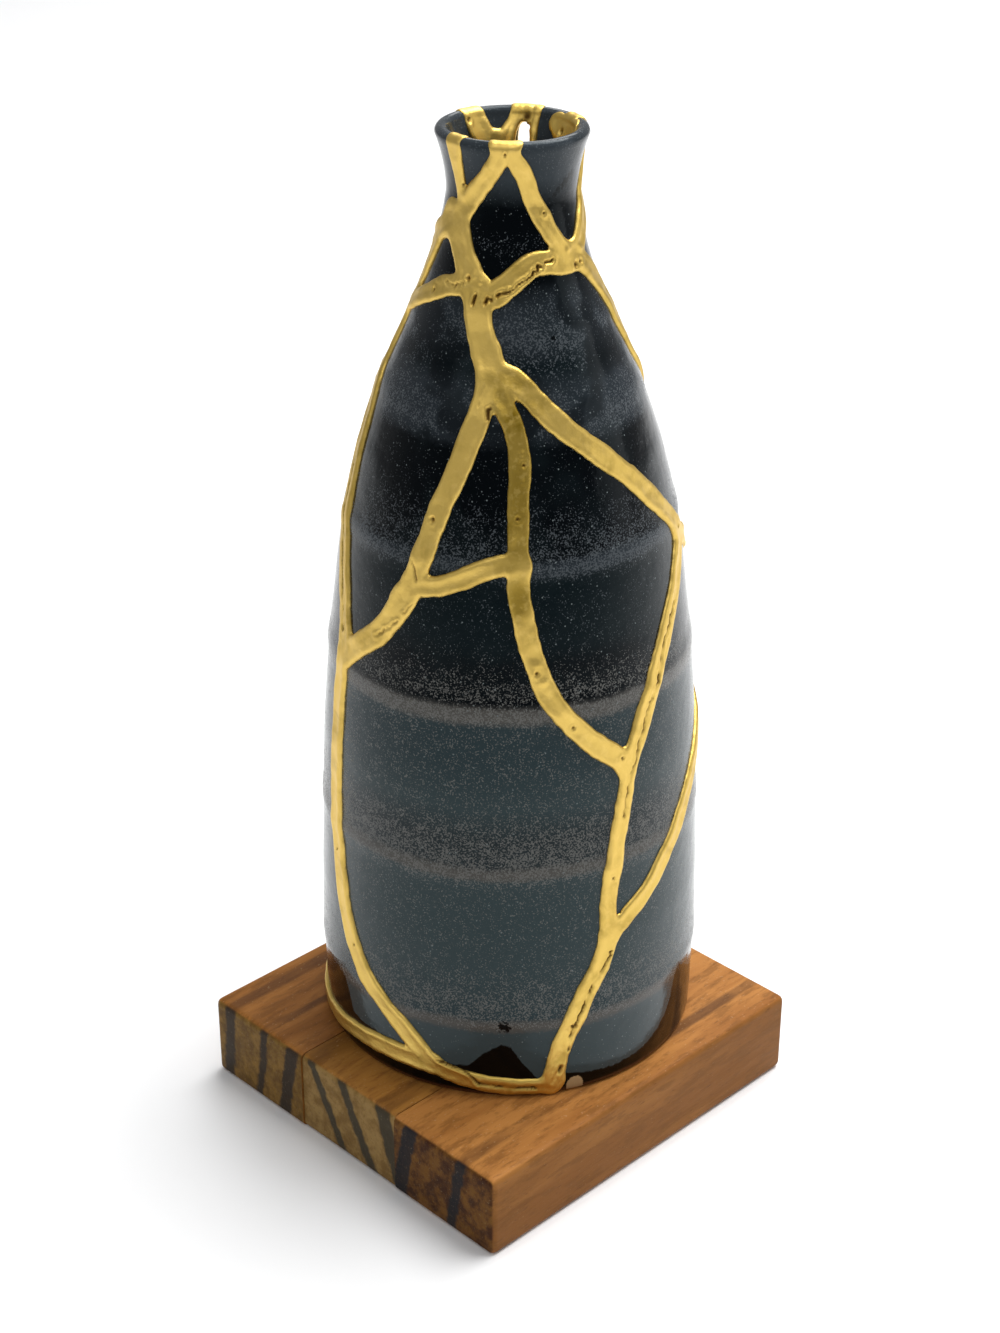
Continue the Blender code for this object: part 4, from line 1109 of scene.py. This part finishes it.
def eased_board(name, low, high, back):
    """One board, eased on the stand's outer edges and crisp along its glue lines."""
    mesh = bmesh.new()
    bmesh.ops.create_cube(mesh, size=1.0)
    front = -STAND_LENGTH / 2 + back
    rear = STAND_LENGTH / 2 - back
    for vert in mesh.verts:
        vert.co = Vector((low if vert.co.x < 0 else high, front if vert.co.y < 0 else rear,
                          0.0 if vert.co.z < 0 else STAND_HEIGHT))
    glue = [x for x in (low, high) if abs(x) < STAND_WIDTH / 2 - 1]

    def on_glue(edge):
        return any(all(abs(vert.co.x - x) < 1e-4 for vert in edge.verts) for x in glue)

    outer = [edge for edge in mesh.edges if not on_glue(edge)]
    bmesh.ops.bevel(mesh, geom=outer, offset=EASED, segments=5, profile=0.5, affect="EDGES")
    bmesh.ops.triangulate(mesh, faces=[face for face in mesh.faces if len(face.verts) > 4])
    for face in mesh.faces:
        face.smooth = True
    for vert in mesh.verts:
        vert.co *= MM
    data = bpy.data.meshes.new(name)
    mesh.to_mesh(data)
    mesh.free()
    data.set_sharp_from_angle(angle=math.radians(40))
    return placed(name, data)


def make_stand():
    """The stand's three boards, each with its own grain."""
    for place, (side, bands, back, *colours) in enumerate(BOARDS):
        low = -STAND_WIDTH / 2 + place * BOARD
        board = eased_board("wood_board_" + side, low + (GLUE_GAP if place else 0),
                            low + BOARD - (GLUE_GAP if place < 2 else 0), back)
        board.data.materials.append(wood_material(side, bands, *colours))
        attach(board, "root")
        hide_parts("stand_board_" + side)


# ---- stage

ROOM_LIGHT = 0.36

# Each lamp: its place, what it points at, its width and height, and its power
LAMPS = (
    ("overhead", (0.1, 0.46, 1.15), (0.0, 0.08, 0.0), (0.9, 0.9), 19.0),
    ("behind", (-0.95, 1.1, 1.2), (-0.85, 1.0, 0.0), (1.0, 1.0), 8.0),
    ("front_top", (0.52, -0.56, 1.1), (0.0, 0.0, 0.12), (0.6, 0.6), 2.0),
    ("side_right", (0.8, 0.6, 0.3), (0.0, 0.0, 0.09), (0.62, 0.5), 0.9),
    ("front_left", (-0.1, -0.95, 0.75), (0.0, 0.0, 0.06), (0.6, 0.4), 0.6),
)

CAMERA_PLACE = (0.30549, -0.30189, 0.32607)
CAMERA_ANGLES = (62.428, -0.11, 45.439)
CAMERA_LENS = 64.29
CAMERA_SHIFT = -0.0032


def make_stage():
    """A pale floor, a white room and large soft lamps."""
    bpy.ops.mesh.primitive_plane_add(size=8.0, location=(0.0, 0.0, 0.0))
    floor = bpy.context.object
    floor.name = "floor"
    n = Nodes("floor_paper")
    n.shade("Base Color", n.mix(n.noise(3.0), (0.86, 0.86, 0.86), (0.9, 0.9, 0.9)))
    n.shade("Roughness", 0.6)
    n.shade("Specular IOR Level", 0.2)
    floor.data.materials.append(n.material)

    scene = bpy.context.scene
    scene.view_settings.view_transform = "Standard"
    world = bpy.data.worlds.new("room")
    scene.world = world
    world.use_nodes = True
    background = world.node_tree.nodes["Background"].inputs
    background["Color"].default_value = (0.97, 0.98, 1.0, 1.0)
    background["Strength"].default_value = ROOM_LIGHT
    for name, place, aim, size, power in LAMPS:
        lamp = bpy.data.lights.new(name, "AREA")
        lamp.shape = "ELLIPSE"
        lamp.size, lamp.size_y = size
        lamp.energy = power
        obj = placed(name, lamp)
        obj.location = place
        obj.rotation_euler = (Vector(aim) - Vector(place)).to_track_quat("-Z", "Y").to_euler()


def make_camera():
    """The photograph's camera, as it was fitted to the photograph."""
    camera = bpy.data.cameras.new("camera")
    camera.sensor_fit = "VERTICAL"
    camera.sensor_height = 36.0
    camera.lens = CAMERA_LENS
    camera.shift_y = CAMERA_SHIFT
    camera.clip_start = 0.01
    obj = placed("camera", camera)
    obj.location = CAMERA_PLACE
    obj.rotation_mode = "XYZ"
    obj.rotation_euler = [math.radians(angle) for angle in CAMERA_ANGLES]
    bpy.context.scene.camera = obj


def main():
    """The whole scene."""
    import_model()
    make_camera()
    make_shards()
    gold = make_gold()
    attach(gold, "root")
    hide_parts("gold_seam")
    make_stand()
    make_stage()


main()
